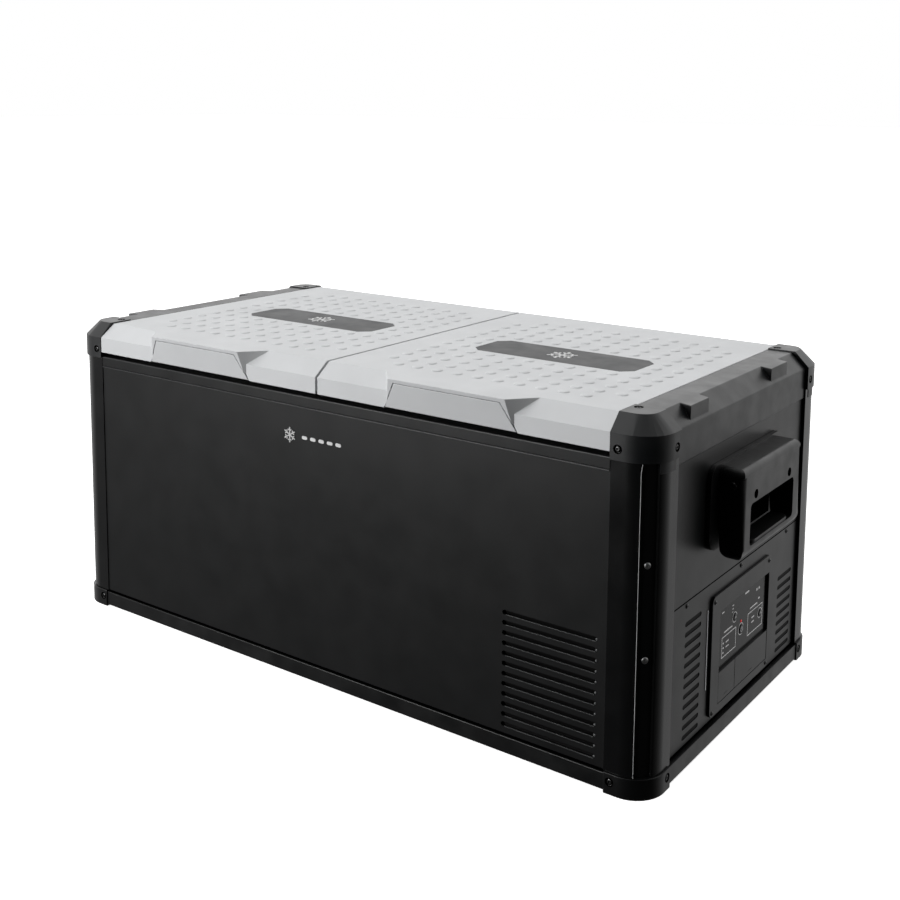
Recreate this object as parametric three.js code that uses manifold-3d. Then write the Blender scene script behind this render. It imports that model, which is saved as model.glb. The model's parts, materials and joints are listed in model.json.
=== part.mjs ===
// Compressor cooler fridge: a twin-zone chest with two rear-hinged lids, a black panelled cabinet,
// a carrying handle on each end, and the cooling unit and its control module at the right end.
//
// Units are millimetres. +X runs along the length towards the control end, -Y is the front,
// +Z is up. The origin is at the centre of the footprint, on the surface the feet stand on.

import * as THREE from 'three';
import { mergeVertices } from 'three/addons/utils/BufferGeometryUtils.js';
import Module from 'manifold-3d';

const wasm = await Module();
wasm.setup();

// ---------------------------------------------------------------- driving dimensions

const GAP = 0.3;                 // clearance left between pieces that touch
const HALF_X = 467;              // outer faces of the corner posts
const HALF_Y = 243.4;
const CORNER_R = 36;             // outer radius of a corner post
const POST_WALL = 6;
const POST_FLANGE_X = 413.3;     // where a post's front flange meets the front panel
const POST_FLANGE_Y = 190;       // where its side flange meets the end panel

const FOOT_PROUD = 2.4;          // feet and corner caps stand this far outside the posts
const FOOT_WALL = 12;
const FOOT_HEIGHT = 24;
const FOOT_REACH_X = 54.4;         // length of a foot's arm along the front
const FOOT_REACH_Y = 53;         // and along the end

const CORNER_SCREW_X = 422.5;    // screws that hold the corner caps and feet, in shallow wells
const CORNER_SCREW_Y = 199.6;
const CAP_SCREW_Z = 386.3;
const FOOT_SCREW_Z = 14.5;
const SCREW_WELL_R = 4.4;
const SCREW_WELL_DEPTH = 1.6;
const RAIL_BOTTOM = 2.5;
const RAIL_TOP = 22.3;
const RAIL_THICK = 7;

const SHEET = 2.4;               // thickness of the front and rear panels
const SHEET_INSET = 1.2;         // their faces sit this far inside the posts
const END_FACE = 463;            // outer face of the end panels
const END_THICK = 3;
const SEAM_Z = 197;              // seam between an end's upper and lower panel
const PANEL_TOP = 362;

const RIM_TOP = 376;
const LID_BOTTOM = 382;
const LID_TOP = 420.7;
const CHAMFER = 19;              // bevel round the ends of the cabinet top
const END_CAP_X = 465;           // outer face of an end cap
const CAP_PROUD = 1.8;           // corner caps stand this far above the end caps
const CAP_BOTTOM = 374;

const ZONE_IN = 24;              // inner face of a tub wall next to the middle
const ZONE_OUT = 388;            // and next to the end
const ZONE_Y = 198;
const TUB_WALL = 2;
const TUB_FLOOR = 38;
const BASKET_TOP = 330;
const STEP_X = 232;              // the right tub is shallow beyond here, over the compressor
const STEP_Z = 232;

const BAY_X = 262;               // compressor bay: from here to the right end
const BAY_TOP = 201;
const PAN_TOP = 9;

const LID_SPLIT = 1.8;           // half the gap between the two lids
const LID_END = 413;
const LID_FRONT = 245;           // y of the lid's front face at its lower edge
const LID_REAR = 238;
const BEVEL_Z = 403.5;           // lower edge of the lid's front bevel
const BEVEL_Y = 222;             // its upper edge, and the visor's root
const LID_WALL = 3;
const VISOR_Y = 254;             // the visor's front edge at the top
const VISOR_HALF = 82.5;         // half its length there
const VISOR_ROOT_HALF = 110;     // and where it meets the bevel
const FLAP_X = -4.5;             // visor and flap sit a little left of the lid's middle
const FLAP_HALF_LOW = 97;        // latch flap: half length at its lower edge
const FLAP_HALF_TOP = 75;
const FLAP_TOP = 415.5;
const FLAP_THICK = 5;
const FLAP_POCKET = 6;
const FLAP_SEAM = 0.6;

const HINGE_Y = 249;             // lid hinge line, behind the cabinet
const HINGE_Z = 382;
const KNUCKLE_R = 5;
const PIN_R = 2.4;
const PIN_CLEAR = 0.3;
const LID_KNUCKLE_HALF = 30;
const HINGE_HALF = 50;

const PLATE_X = 8;               // dark inset plate on a lid, a little right of its middle
const PLATE_Y = -11;
const PLATE_HALF_X = 118;
const PLATE_HALF_Y = 40;
const PLATE_CHAMFER = 14;

const HANDLE_OUT = 500;          // outer face of a handle
const HANDLE_HALF = 87;
const HANDLE_BOTTOM = 229;
const HANDLE_ROLL = 14;          // radius of the rounded underside of the hood
const HANDLE_TOP = 338;
const FINGER_HALF = 67;          // finger opening
const FINGER_BOTTOM = 244;
const FINGER_TOP = 294;

const BEZEL_Y = [-84, 95];       // control module, on the right end's lower panel
const BEZEL_Z = [31, 179];
const BEZEL_FACE = 466;
const LABEL_Y = [-61, 89];
const LABEL_Z = [80.5, 156];
const LABEL_FACE = 463;
const SOCKET_Z = [41, 80];
const DOOR_SPLIT_Y = -12;
const BUTTON_TRAVEL = 1.2;

const SLOT_PITCH = 12.2;
const SLOT_HEIGHT = 5.6;
const FRONT_SLOTS = { low: 279, high: 402, first: 36, count: 12 };
const SIDE_SLOTS = [
  { low: -152, high: -109, first: 36, count: 12 },
  { low: 127, high: 174, first: 36, count: 9 },
];

const ROUND = 7;                 // segments on a quarter-round
const CYL = 20;                  // sides of a medium cylinder

// ---------------------------------------------------------------- materials

function material(color, roughness, metalness) {
  return new THREE.MeshStandardMaterial({ color, roughness, metalness });
}

const BLACK = material(0x15171a, 0.35, 0);
const SHEET_BLACK = material(0x18191c, 0.4, 0.3);
const CHARCOAL = material(0x33363a, 0.5, 0);
const LID_GREY = material(0xc4c8c9, 0.6, 0);
const LINER_GREY = material(0xd9dcdd, 0.45, 0);
const RUBBER = material(0x202224, 0.85, 0);
const PLATE_GREY = material(0x6b6e70, 0.5, 0);
const FOAM = material(0xd8c68c, 0.95, 0);
const WIRE = material(0xe7e9ea, 0.4, 0.1);
const STEEL = material(0x9a9da0, 0.35, 0.9);
const ALUMINIUM = material(0xb6babd, 0.4, 0.9);
const COPPER = material(0xb87345, 0.3, 0.9);
const BOARD = material(0x1d5a38, 0.6, 0);
const GLOSS = material(0x0b0c0e, 0.12, 0);

// ---------------------------------------------------------------- solids

function solid(geometry) {
  const plain = geometry.index ? geometry.toNonIndexed() : geometry.clone();
  plain.deleteAttribute('normal');
  plain.deleteAttribute('uv');
  const merged = mergeVertices(plain, 1e-4);
  return new wasm.Manifold(new wasm.Mesh({
    numProp: 3,
    vertProperties: new Float32Array(merged.attributes.position.array),
    triVerts: new Uint32Array(merged.index.array),
  }));
}

function geometryOf(manifold) {
  const mesh = manifold.getMesh();
  const geometry = new THREE.BufferGeometry();
  geometry.setAttribute('position', new THREE.BufferAttribute(mesh.vertProperties, 3));
  geometry.setIndex(new THREE.BufferAttribute(mesh.triVerts, 1));
  geometry.computeVertexNormals();
  return geometry;
}

function block([x0, x1], [y0, y1], [z0, z1]) {
  const geometry = new THREE.BoxGeometry(x1 - x0, y1 - y0, z1 - z0);
  geometry.translate((x0 + x1) / 2, (y0 + y1) / 2, (z0 + z1) / 2);
  return solid(geometry);
}

function shapeOf(points) {
  return new THREE.Shape(points.map(([a, b]) => new THREE.Vector2(a, b)));
}

function extrude(shape, depth, curveSegments = ROUND) {
  return new THREE.ExtrudeGeometry(shape, { depth, bevelEnabled: false, curveSegments });
}

// A shape drawn in x and y, extruded along z.
function prismZ(shape, [z0, z1], curveSegments) {
  return solid(extrude(shape, z1 - z0, curveSegments).translate(0, 0, z0));
}

// A shape drawn in y and z, extruded along x.
function prismX(shape, [x0, x1], curveSegments) {
  const turn = new THREE.Matrix4().set(0, 0, 1, 0, 1, 0, 0, 0, 0, 1, 0, 0, 0, 0, 0, 1);
  return solid(extrude(shape, x1 - x0, curveSegments).applyMatrix4(turn).translate(x0, 0, 0));
}

// A shape drawn in x and z, extruded along y.
function prismY(shape, [y0, y1], curveSegments) {
  return solid(extrude(shape, y1 - y0, curveSegments).rotateX(Math.PI / 2).translate(0, y1, 0));
}

function cylinder(radius, [low, high], axis, centre, sides = CYL) {
  const geometry = new THREE.CylinderGeometry(radius, radius, high - low, sides);
  geometry.translate(0, (low + high) / 2, 0);
  if (axis === 'x') geometry.rotateZ(-Math.PI / 2).translate(0, centre[0], centre[1]);
  if (axis === 'y') geometry.translate(centre[0], 0, centre[1]);
  if (axis === 'z') geometry.rotateX(Math.PI / 2).translate(centre[0], centre[1], 0);
  return solid(geometry);
}

function roundedRect([a0, a1], [b0, b1], r) {
  const shape = new THREE.Shape();
  shape.moveTo(a0 + r, b0);
  shape.lineTo(a1 - r, b0);
  shape.absarc(a1 - r, b0 + r, r, -Math.PI / 2, 0, false);
  shape.lineTo(a1, b1 - r);
  shape.absarc(a1 - r, b1 - r, r, 0, Math.PI / 2, false);
  shape.lineTo(a0 + r, b1);
  shape.absarc(a0 + r, b1 - r, r, Math.PI / 2, Math.PI, false);
  shape.lineTo(a0, b0 + r);
  shape.absarc(a0 + r, b0 + r, r, Math.PI, 1.5 * Math.PI, false);
  return shape;
}

function union(...solids) {
  return solids.reduce((sum, next) => sum.add(next));
}

function cut(body, ...tools) {
  return tools.reduce((rest, tool) => rest.subtract(tool), body);
}

// Reflects a solid in the planes x = 0 (sx = -1) and y = 0 (sy = -1).
function mirrored(manifold, sx, sy) {
  const mesh = manifold.getMesh();
  const vertices = new Float32Array(mesh.vertProperties);
  for (let i = 0; i < vertices.length; i += 3) {
    vertices[i] *= sx;
    vertices[i + 1] *= sy;
  }
  const triangles = new Uint32Array(mesh.triVerts);
  if (sx * sy < 0) {
    for (let i = 0; i < triangles.length; i += 3) {
      [triangles[i], triangles[i + 1]] = [triangles[i + 1], triangles[i]];
    }
  }
  return new wasm.Manifold(new wasm.Mesh({
    numProp: 3, vertProperties: vertices, triVerts: triangles,
  }));
}

// A solid between two convex outlines with equally many points, the first at z0, the second at z1.
function loft(lower, upper, z0, z1) {
  const n = lower.length;
  const positions = [];
  const corner = (ring, i, z) => [ring[i % n][0], ring[i % n][1], z];
  for (let i = 0; i < n; i += 1) {
    const [a, b] = [corner(lower, i, z0), corner(lower, i + 1, z0)];
    const [c, d] = [corner(upper, i + 1, z1), corner(upper, i, z1)];
    positions.push(...a, ...b, ...c, ...a, ...c, ...d);
  }
  for (let i = 1; i < n - 1; i += 1) {
    positions.push(...corner(lower, 0, z0), ...corner(lower, i + 1, z0), ...corner(lower, i, z0));
    positions.push(...corner(upper, 0, z1), ...corner(upper, i, z1), ...corner(upper, i + 1, z1));
  }
  const geometry = new THREE.BufferGeometry();
  geometry.setAttribute('position', new THREE.Float32BufferAttribute(positions, 3));
  return solid(geometry);
}

const model = new THREE.Group();

function place(name, manifold, look) {
  const mesh = new THREE.Mesh(geometryOf(manifold), look);
  mesh.name = name;
  model.add(mesh);
}

// Horizontal ventilation slots with round ends, as tools that cut right through a panel.
function slotTools({ low, high, first, count }, prism, through) {
  const tools = [];
  for (let i = 0; i < count; i += 1) {
    const z = first + i * SLOT_PITCH;
    const outline = roundedRect([low, high], [z - SLOT_HEIGHT / 2, z + SLOT_HEIGHT / 2],
      SLOT_HEIGHT / 2 - 0.01);
    tools.push(prism(outline, through, 2));
  }
  return tools;
}

// ---------------------------------------------------------------- cabinet frame

const CORNERS = [
  ['front_right', 1, 1], ['front_left', -1, 1], ['rear_right', 1, -1], ['rear_left', -1, -1],
];

// Quarter outline of the front right corner, from the front flange round to the side flange.
function cornerShape(outX, outY, radius, wall, flangeX, flangeY) {
  const [cx, cy] = [outX - radius, -(outY - radius)];
  const shape = new THREE.Shape();
  shape.moveTo(flangeX, -outY);
  shape.lineTo(cx, -outY);
  shape.absarc(cx, cy, radius, -Math.PI / 2, 0, false);
  shape.lineTo(outX, -flangeY);
  shape.lineTo(outX - wall, -flangeY);
  shape.lineTo(outX - wall, cy);
  shape.absarc(cx, cy, radius - wall, 0, -Math.PI / 2, true);
  shape.lineTo(flangeX, -(outY - wall));
  return shape;
}

function cornerPost() {
  const body = prismZ(
    cornerShape(HALF_X, HALF_Y, CORNER_R, POST_WALL, POST_FLANGE_X, POST_FLANGE_Y),
    [FOOT_HEIGHT + GAP, CAP_BOTTOM - GAP], ROUND);
  // A shallow channel runs down the rounded corner.
  const [cx, cy] = [HALF_X - CORNER_R, -(HALF_Y - CORNER_R)];
  const [from, to] = [-Math.PI / 2 + 0.48, -Math.PI / 2 + 1.05];
  const groove = new THREE.Shape();
  groove.absarc(cx, cy, CORNER_R + 2, from, to, false);
  groove.absarc(cx, cy, CORNER_R - 3, to, from, true);
  return cut(body, prismZ(groove, [FOOT_HEIGHT, CAP_BOTTOM], 4));
}

// Shallow round wells for a front screw and a side screw, both at height z.
function screwWells(outX, outY, z) {
  return [
    cylinder(SCREW_WELL_R, [-outY - 1, -outY + SCREW_WELL_DEPTH], 'y', [CORNER_SCREW_X, z], 16),
    cylinder(SCREW_WELL_R, [outX - SCREW_WELL_DEPTH, outX + 1], 'x', [-CORNER_SCREW_Y, z], 16),
  ];
}

function foot() {
  const [outX, outY] = [HALF_X + FOOT_PROUD, HALF_Y + FOOT_PROUD];
  const body = prismZ(
    cornerShape(outX, outY, CORNER_R + FOOT_PROUD, FOOT_WALL,
      outX - FOOT_REACH_X, outY - FOOT_REACH_Y),
    [0, FOOT_HEIGHT], ROUND);
  return cut(body, ...screwWells(outX, outY, FOOT_SCREW_Z));
}

// Corner cap: vertical skirt, then a conical chamfer up to the flat top.
function cornerCap() {
  const [outX, outY] = [HALF_X + FOOT_PROUD, HALF_Y + FOOT_PROUD];
  const [cx, cy] = [HALF_X - CORNER_R, -(HALF_Y - CORNER_R)];
  const outline = (inset) => {
    const r = CORNER_R + FOOT_PROUD - inset;
    const points = [[POST_FLANGE_X, -POST_FLANGE_Y - GAP], [POST_FLANGE_X, -(outY - inset)]];
    for (let i = 0; i <= ROUND; i += 1) {
      const a = -Math.PI / 2 + (i / ROUND) * Math.PI / 2;
      points.push([cx + r * Math.cos(a), cy + r * Math.sin(a)]);
    }
    points.push([outX - inset, -POST_FLANGE_Y - GAP]);
    return points;
  };
  const top = LID_TOP + CAP_PROUD;
  const bevelFoot = top - CHAMFER;
  const skirt = loft(outline(0), outline(0), CAP_BOTTOM, bevelFoot);
  const crown = loft(outline(0), outline(CHAMFER), bevelFoot - 0.01, top);
  const topWell = cylinder(SCREW_WELL_R, [top - SCREW_WELL_DEPTH, top + 1], 'z',
    [CORNER_SCREW_X, -CORNER_SCREW_Y], 16);
  return cut(union(skirt, crown), topWell, ...screwWells(outX, outY, CAP_SCREW_Z));
}

function makeFrame() {
  const [post, base, cap] = [cornerPost(), foot(), cornerCap()];
  for (const [name, sx, sy] of CORNERS) {
    place(`corner_post_${name}`, mirrored(post, sx, sy), BLACK);
    place(`foot_bracket_${name}`, mirrored(base, sx, sy), BLACK);
    place(`corner_cap_${name}`, mirrored(cap, sx, sy), CHARCOAL);
  }

  const longEnd = HALF_X + FOOT_PROUD - FOOT_REACH_X - GAP;
  const shortEnd = HALF_Y + FOOT_PROUD - FOOT_REACH_Y - GAP;
  const frontRail = block([-longEnd, longEnd], [-HALF_Y - 1, -HALF_Y - 1 + RAIL_THICK],
    [RAIL_BOTTOM, RAIL_TOP]);
  const endRail = block([HALF_X + 1 - RAIL_THICK, HALF_X + 1], [-shortEnd, shortEnd],
    [RAIL_BOTTOM, RAIL_TOP]);
  place('bottom_rail_front', frontRail, BLACK);
  place('bottom_rail_rear', mirrored(frontRail, 1, -1), BLACK);
  place('bottom_rail_right', endRail, BLACK);
  place('bottom_rail_left', mirrored(endRail, -1, 1), BLACK);

  const pan = roundedRect([-456, 456], [-233, 233], CORNER_R - 4);
  place('base_pan', prismZ(pan, [PAN_TOP - 3, PAN_TOP], 6), STEEL);
}

// ---------------------------------------------------------------- outer panels

function makePanels() {
  const low = RAIL_TOP + GAP;
  const high = PANEL_TOP - GAP;
  const side = POST_FLANGE_X - GAP;
  const face = HALF_Y - SHEET_INSET;
  const rear = block([-side, side], [face - SHEET, face], [low, high]);
  const front = cut(mirrored(rear, 1, -1),
    ...slotTools(FRONT_SLOTS, prismY, [-face - 1, -face + SHEET + 1]));
  place('front_panel', front, SHEET_BLACK);
  place('rear_panel', rear, SHEET_BLACK);

  const endSide = POST_FLANGE_Y - GAP;
  const endLow = FOOT_HEIGHT + GAP;
  const endX = [END_FACE - END_THICK, END_FACE];
  const upper = block(endX, [-endSide, endSide], [SEAM_Z + GAP, high]);
  const lower = block(endX, [-endSide, endSide], [endLow, SEAM_Z - GAP]);
  const plain = block([-END_FACE, -END_FACE + END_THICK], [-endSide, endSide], [endLow, high]);
  place('end_panel_upper_right', upper, BLACK);
  place('end_panel_left', plain, BLACK);

  const through = [END_FACE - END_THICK - 1, END_FACE + 1];
  const window = block(through, [BEZEL_Y[0] + 4, BEZEL_Y[1] - 4], [BEZEL_Z[0] + 4, BEZEL_Z[1] - 4]);
  const vents = SIDE_SLOTS.flatMap((column) => slotTools(column, prismX, through));
  place('end_panel_lower_right', cut(lower, window, ...vents), BLACK);
}

// Strip that closes each end of the cabinet top: flat, then bevelled, with two raised pads.
function makeEndCaps() {
  const [inner, outer] = [POST_FLANGE_X, END_CAP_X];
  const y = [-POST_FLANGE_Y, POST_FLANGE_Y];
  const profile = shapeOf([
    [inner, RIM_TOP + 0.4], [END_FACE - END_THICK - 5, RIM_TOP + 0.4],
    [END_FACE - END_THICK - 5, PANEL_TOP], [outer, PANEL_TOP],
    [outer, LID_TOP - CHAMFER], [outer - CHAMFER, LID_TOP], [inner, LID_TOP],
  ]);
  const padX = outer - 3;
  const pad = (low, high) => prismZ(shapeOf([
    [outer - CHAMFER - 6, low], [outer - CHAMFER, low], [padX, low - 6],
    [padX, high - 6], [outer - CHAMFER, high + 2], [outer - CHAMFER - 6, high + 2],
  ]), [LID_TOP - CHAMFER, LID_TOP]);
  const right = union(prismY(profile, y), pad(-148, -100), pad(84, 138));
  place('end_cap_right', right, CHARCOAL);
  place('end_cap_left', mirrored(right, -1, 1), CHARCOAL);
}

// ---------------------------------------------------------------- insulated box

function tubOutline(grow) {
  const floor = TUB_FLOOR - grow;
  return { x: [ZONE_IN - grow, ZONE_OUT + grow], y: [-ZONE_Y - grow, ZONE_Y + grow], floor };
}

// The left tub is one deep well; the right one steps up over the compressor bay.
function tubSpace(grow, top, stepped) {
  const { x, y, floor } = tubOutline(grow);
  const z = [floor, top];
  const r = 18 + grow;
  const deepX = stepped ? [x[0], STEP_X + grow] : x;
  const deep = prismZ(roundedRect(deepX, y, r), z, 5);
  if (!stepped) return deep;
  return union(deep, prismZ(roundedRect(x, y, r), [STEP_Z - grow, top], 5));
}

function makeInsulatedBox() {
  for (const [name, sx] of [['left', -1], ['right', 1]]) {
    const stepped = sx > 0;
    const shell = cut(tubSpace(TUB_WALL, RIM_TOP, stepped), tubSpace(0, RIM_TOP + 1, stepped));
    place(`tub_${name}`, mirrored(shell, sx, 1), LINER_GREY);
  }

  const side = POST_FLANGE_X - 0.4;
  const clearance = TUB_WALL + GAP;
  const wells = [
    mirrored(tubSpace(clearance, RIM_TOP + 2, false), -1, 1),
    tubSpace(clearance, RIM_TOP + 2, true),
  ];
  const rim = block([-side, side], [-HALF_Y, HALF_Y], [PANEL_TOP, RIM_TOP]);
  place('top_rim', cut(rim, ...wells), CHARCOAL);

  const innerFace = HALF_Y - SHEET_INSET - SHEET - GAP;
  const foamTop = PANEL_TOP - GAP;
  const foamLow = PAN_TOP + GAP;
  const middle = block([-side, side], [-innerFace, innerFace], [foamLow, foamTop]);
  const long = END_FACE - END_THICK - 5 - GAP;
  const ends = block([-long, long], [-POST_FLANGE_Y + 1, POST_FLANGE_Y - 1], [foamLow, foamTop]);
  const railPath = HALF_Y - RAIL_THICK;
  const skirt = cut(block([-500, 500], [-300, 300], [0, RAIL_TOP + GAP]),
    block([-450, 450], [-railPath, railPath], [-1, RAIL_TOP + 1]));
  const bay = block([BAY_X, 500], [-300, 300], [0, BAY_TOP]);
  place('foam_insulation', cut(union(middle, ends), skirt, bay, ...wells), FOAM);
}

// Lift-out storage basket, as an open bin with thin walls.
function basket([x0, x1]) {
  const margin = 4;
  const wall = 2;
  const radius = 16;
  const [bx0, bx1] = [x0 + margin, x1 - margin];
  const y = ZONE_Y - margin;
  const z = [TUB_FLOOR + 2, BASKET_TOP];
  const outer = prismZ(roundedRect([bx0, bx1], [-y, y], radius), z, 4);
  const inner = prismZ(
    roundedRect([bx0 + wall, bx1 - wall], [-y + wall, y - wall], radius - wall),
    [z[0] + wall, z[1] + 1], 4);
  return cut(outer, inner);
}

function makeBaskets() {
  place('basket_left', basket([-ZONE_OUT, -ZONE_IN]), WIRE);
  place('basket_right', basket([ZONE_IN, STEP_X]), WIRE);
}

// ---------------------------------------------------------------- cooling unit

const COMPRESSOR = { x: 350, y: -100, r: 58, height: 118 };
const FAN = { x: 356, y: 120, z: 92, r: 62 };

function makeCoolingUnit() {
  const floor = PAN_TOP + GAP;
  const { x, y, r, height } = COMPRESSOR;
  const dome = new THREE.LatheGeometry([
    [0, 0], [r * 0.8, 0], [r * 0.8, 6], [r, 10], [r, height * 0.45], [r + 3, height * 0.47],
    [r + 3, height * 0.53], [r, height * 0.55], [r, height * 0.72], [r * 0.86, height * 0.88],
    [r * 0.5, height * 0.98], [0, height],
  ].map(([a, b]) => new THREE.Vector2(a, b)), CYL);
  dome.rotateX(Math.PI / 2).translate(x, y, floor + 8 + GAP);
  place('compressor', solid(dome), GLOSS);

  const mount = union(
    block([x - 75, x + 75], [y - 50, y + 50], [floor + 4, floor + 8]),
    ...[[-1, -1], [-1, 1], [1, -1], [1, 1]].map(([sx, sy]) => cylinder(
      9, [floor, floor + 4.5], 'z', [x + sx * 62, y + sy * 38], 12)));
  place('compressor_mount', mount, RUBBER);

  const coil = { x: [FAN.x - 80, FAN.x + 76], y: [150, 190], z: [floor, floor + 160] };
  const fins = [];
  for (let z = coil.z[0] + 10; z < coil.z[1] - 8; z += 10) {
    fins.push(block([coil.x[0] + 6, coil.x[1] - 6], [coil.y[0] + 4, coil.y[1] + 1], [z, z + 6]));
  }
  place('condenser', cut(block(coil.x, coil.y, coil.z), ...fins), ALUMINIUM);

  const shroudY = [FAN.y - 18, FAN.y + 20];
  const shroud = cut(
    block([FAN.x - 74, FAN.x + 74], shroudY, [floor, FAN.z + 74]),
    cylinder(FAN.r + 3, [shroudY[0] - 1, shroudY[1] + 1], 'y', [FAN.x, FAN.z], 36));
  const spokes = [0, 1, 2].map((i) => {
    const spoke = block([-3, 3], [shroudY[1] - 5, shroudY[1] - 1], [10, FAN.r + 6]);
    return turnedAboutY(spoke, (i * 2 * Math.PI) / 3);
  });
  const hub = cylinder(20, [shroudY[1] - 5, shroudY[1] - 1], 'y', [0, 0], 20);
  place('fan_shroud', union(shroud, moved(union(hub, ...spokes), FAN.x, 0, FAN.z)), BLACK);
  place('fan_rotor', fanRotor([FAN.y - 14, FAN.y + 12]), BLACK);

  place('control_board', union(
    block([BAY_X + 6, BAY_X + 8], [-40, 60], [40, 150]),
    block([BAY_X + 7.9, BAY_X + 24], [-30, 0], [60, 100]),
    block([BAY_X + 7.9, BAY_X + 18], [10, 50], [90, 135])), BOARD);

  const low = new THREE.Vector3(x + 20, y + 20, floor + height + 12);
  const pipe = new THREE.CatmullRomCurve3([
    low, new THREE.Vector3(x + 20, y + 40, floor + height + 40),
    new THREE.Vector3(x + 50, 60, floor + height + 52),
    new THREE.Vector3(coil.x[1] - 20, 140, coil.z[1] + 22),
    new THREE.Vector3(coil.x[1] - 20, 168, coil.z[1] + 14),
    new THREE.Vector3(coil.x[1] - 20, 170, coil.z[1] + GAP + 0.2),
  ], false, 'centripetal');
  const circle = new THREE.Shape();
  circle.absarc(0, 0, 3, 0, 2 * Math.PI, false);
  const run = new THREE.ExtrudeGeometry(circle, {
    steps: 30, bevelEnabled: false, extrudePath: pipe, curveSegments: 4,
  });
  place('refrigerant_pipe', solid(run), COPPER);
}

function moved(manifold, dx, dy, dz) {
  return solid(geometryOf(manifold).translate(dx, dy, dz));
}

function turnedAboutY(manifold, angle) {
  return solid(geometryOf(manifold).rotateY(angle));
}

// Seven swept blades on a hub, turning about an axis along y.
function fanRotor([y0, y1]) {
  const blades = 7;
  const hub = cylinder(22, [y0, y1], 'y', [0, 0], 24);
  const blade = new THREE.BoxGeometry(3, 24, FAN.r - 18);
  blade.translate(0, 0, 18 + (FAN.r - 18) / 2);
  blade.rotateZ(0.7);
  const one = moved(solid(blade), 0, (y0 + y1) / 2, 0);
  const all = [hub];
  for (let i = 0; i < blades; i += 1) all.push(turnedAboutY(one, (i * 2 * Math.PI) / blades));
  const band = block([-200, 200], [y0 + 1, y1 - 1], [-200, 200]);
  const whole = union(...all.slice(1)).intersect(band);
  return moved(union(hub, whole), FAN.x, 0, FAN.z);
}

// ---------------------------------------------------------------- control module

const BUTTONS = [
  ['power_button', 9, 109, 5.5],
  ['left_zone_button', -11, 131, 4.5],
  ['right_zone_button', 69, 109, 4.5],
];
const DC = { y: [-50, -20], z: [45, 76] };
const AC = { y: [4, 54], z: [45, 76] };

function makeControlModule() {
  const flange = prismX(roundedRect(BEZEL_Y, BEZEL_Z, 8), [END_FACE + GAP, BEZEL_FACE], 4);
  const body = block([444, END_FACE + 1], [BEZEL_Y[0] + 4.5, BEZEL_Y[1] - 4.5],
    [BEZEL_Z[0] + 4.5, BEZEL_Z[1] - 4.5]);
  const labelPocket = block([LABEL_FACE - 2, BEZEL_FACE + 1],
    [LABEL_Y[0] - GAP, LABEL_Y[1] + GAP], [LABEL_Z[0] - GAP, LABEL_Z[1] + GAP]);
  const socketPocket = block([448, BEZEL_FACE + 1], LABEL_Y, SOCKET_Z);
  const divider = block([447, BEZEL_FACE - 2.6], [DOOR_SPLIT_Y - 2, DOOR_SPLIT_Y + 2], SOCKET_Z);
  const bores = BUTTONS.map(([, y, z, r]) => cylinder(r + 0.4, [450, 470], 'x', [y, z], 16));
  place('control_bezel',
    union(cut(union(flange, body), labelPocket, socketPocket, ...bores), divider), BLACK);

  const label = block([LABEL_FACE - 2 + GAP, LABEL_FACE], LABEL_Y, LABEL_Z);
  place('display_panel', cut(label, ...bores), GLOSS);
  for (const [name, y, z, r] of BUTTONS) {
    place(name, cylinder(r, [453, LABEL_FACE + 1.4], 'x', [y, z], 16), CHARCOAL);
  }

  const socketX = [448 + GAP, 460];
  const dcMiddle = [(DC.y[0] + DC.y[1]) / 2, (DC.z[0] + DC.z[1]) / 2];
  place('dc_inlet', cut(block(socketX, DC.y, DC.z),
    cylinder(11, [451, 461], 'x', dcMiddle, 20)), BLACK);
  place('ac_inlet', cut(block(socketX, AC.y, AC.z),
    block([451, 461], [AC.y[0] + 8, AC.y[1] - 8], [AC.z[0] + 5, AC.z[1] - 5])), BLACK);

  const edge = 0.5;
  const doorX = [BEZEL_FACE - 2.2, BEZEL_FACE - 0.2];
  const doorZ = [SOCKET_Z[0] + edge, SOCKET_Z[1] - edge];
  place('socket_cover_dc',
    block(doorX, [LABEL_Y[0] + edge, DOOR_SPLIT_Y - edge / 2], doorZ), BLACK);
  place('socket_cover_ac',
    block(doorX, [DOOR_SPLIT_Y + edge / 2, LABEL_Y[1] - edge], doorZ), BLACK);
}

// ---------------------------------------------------------------- handles

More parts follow.
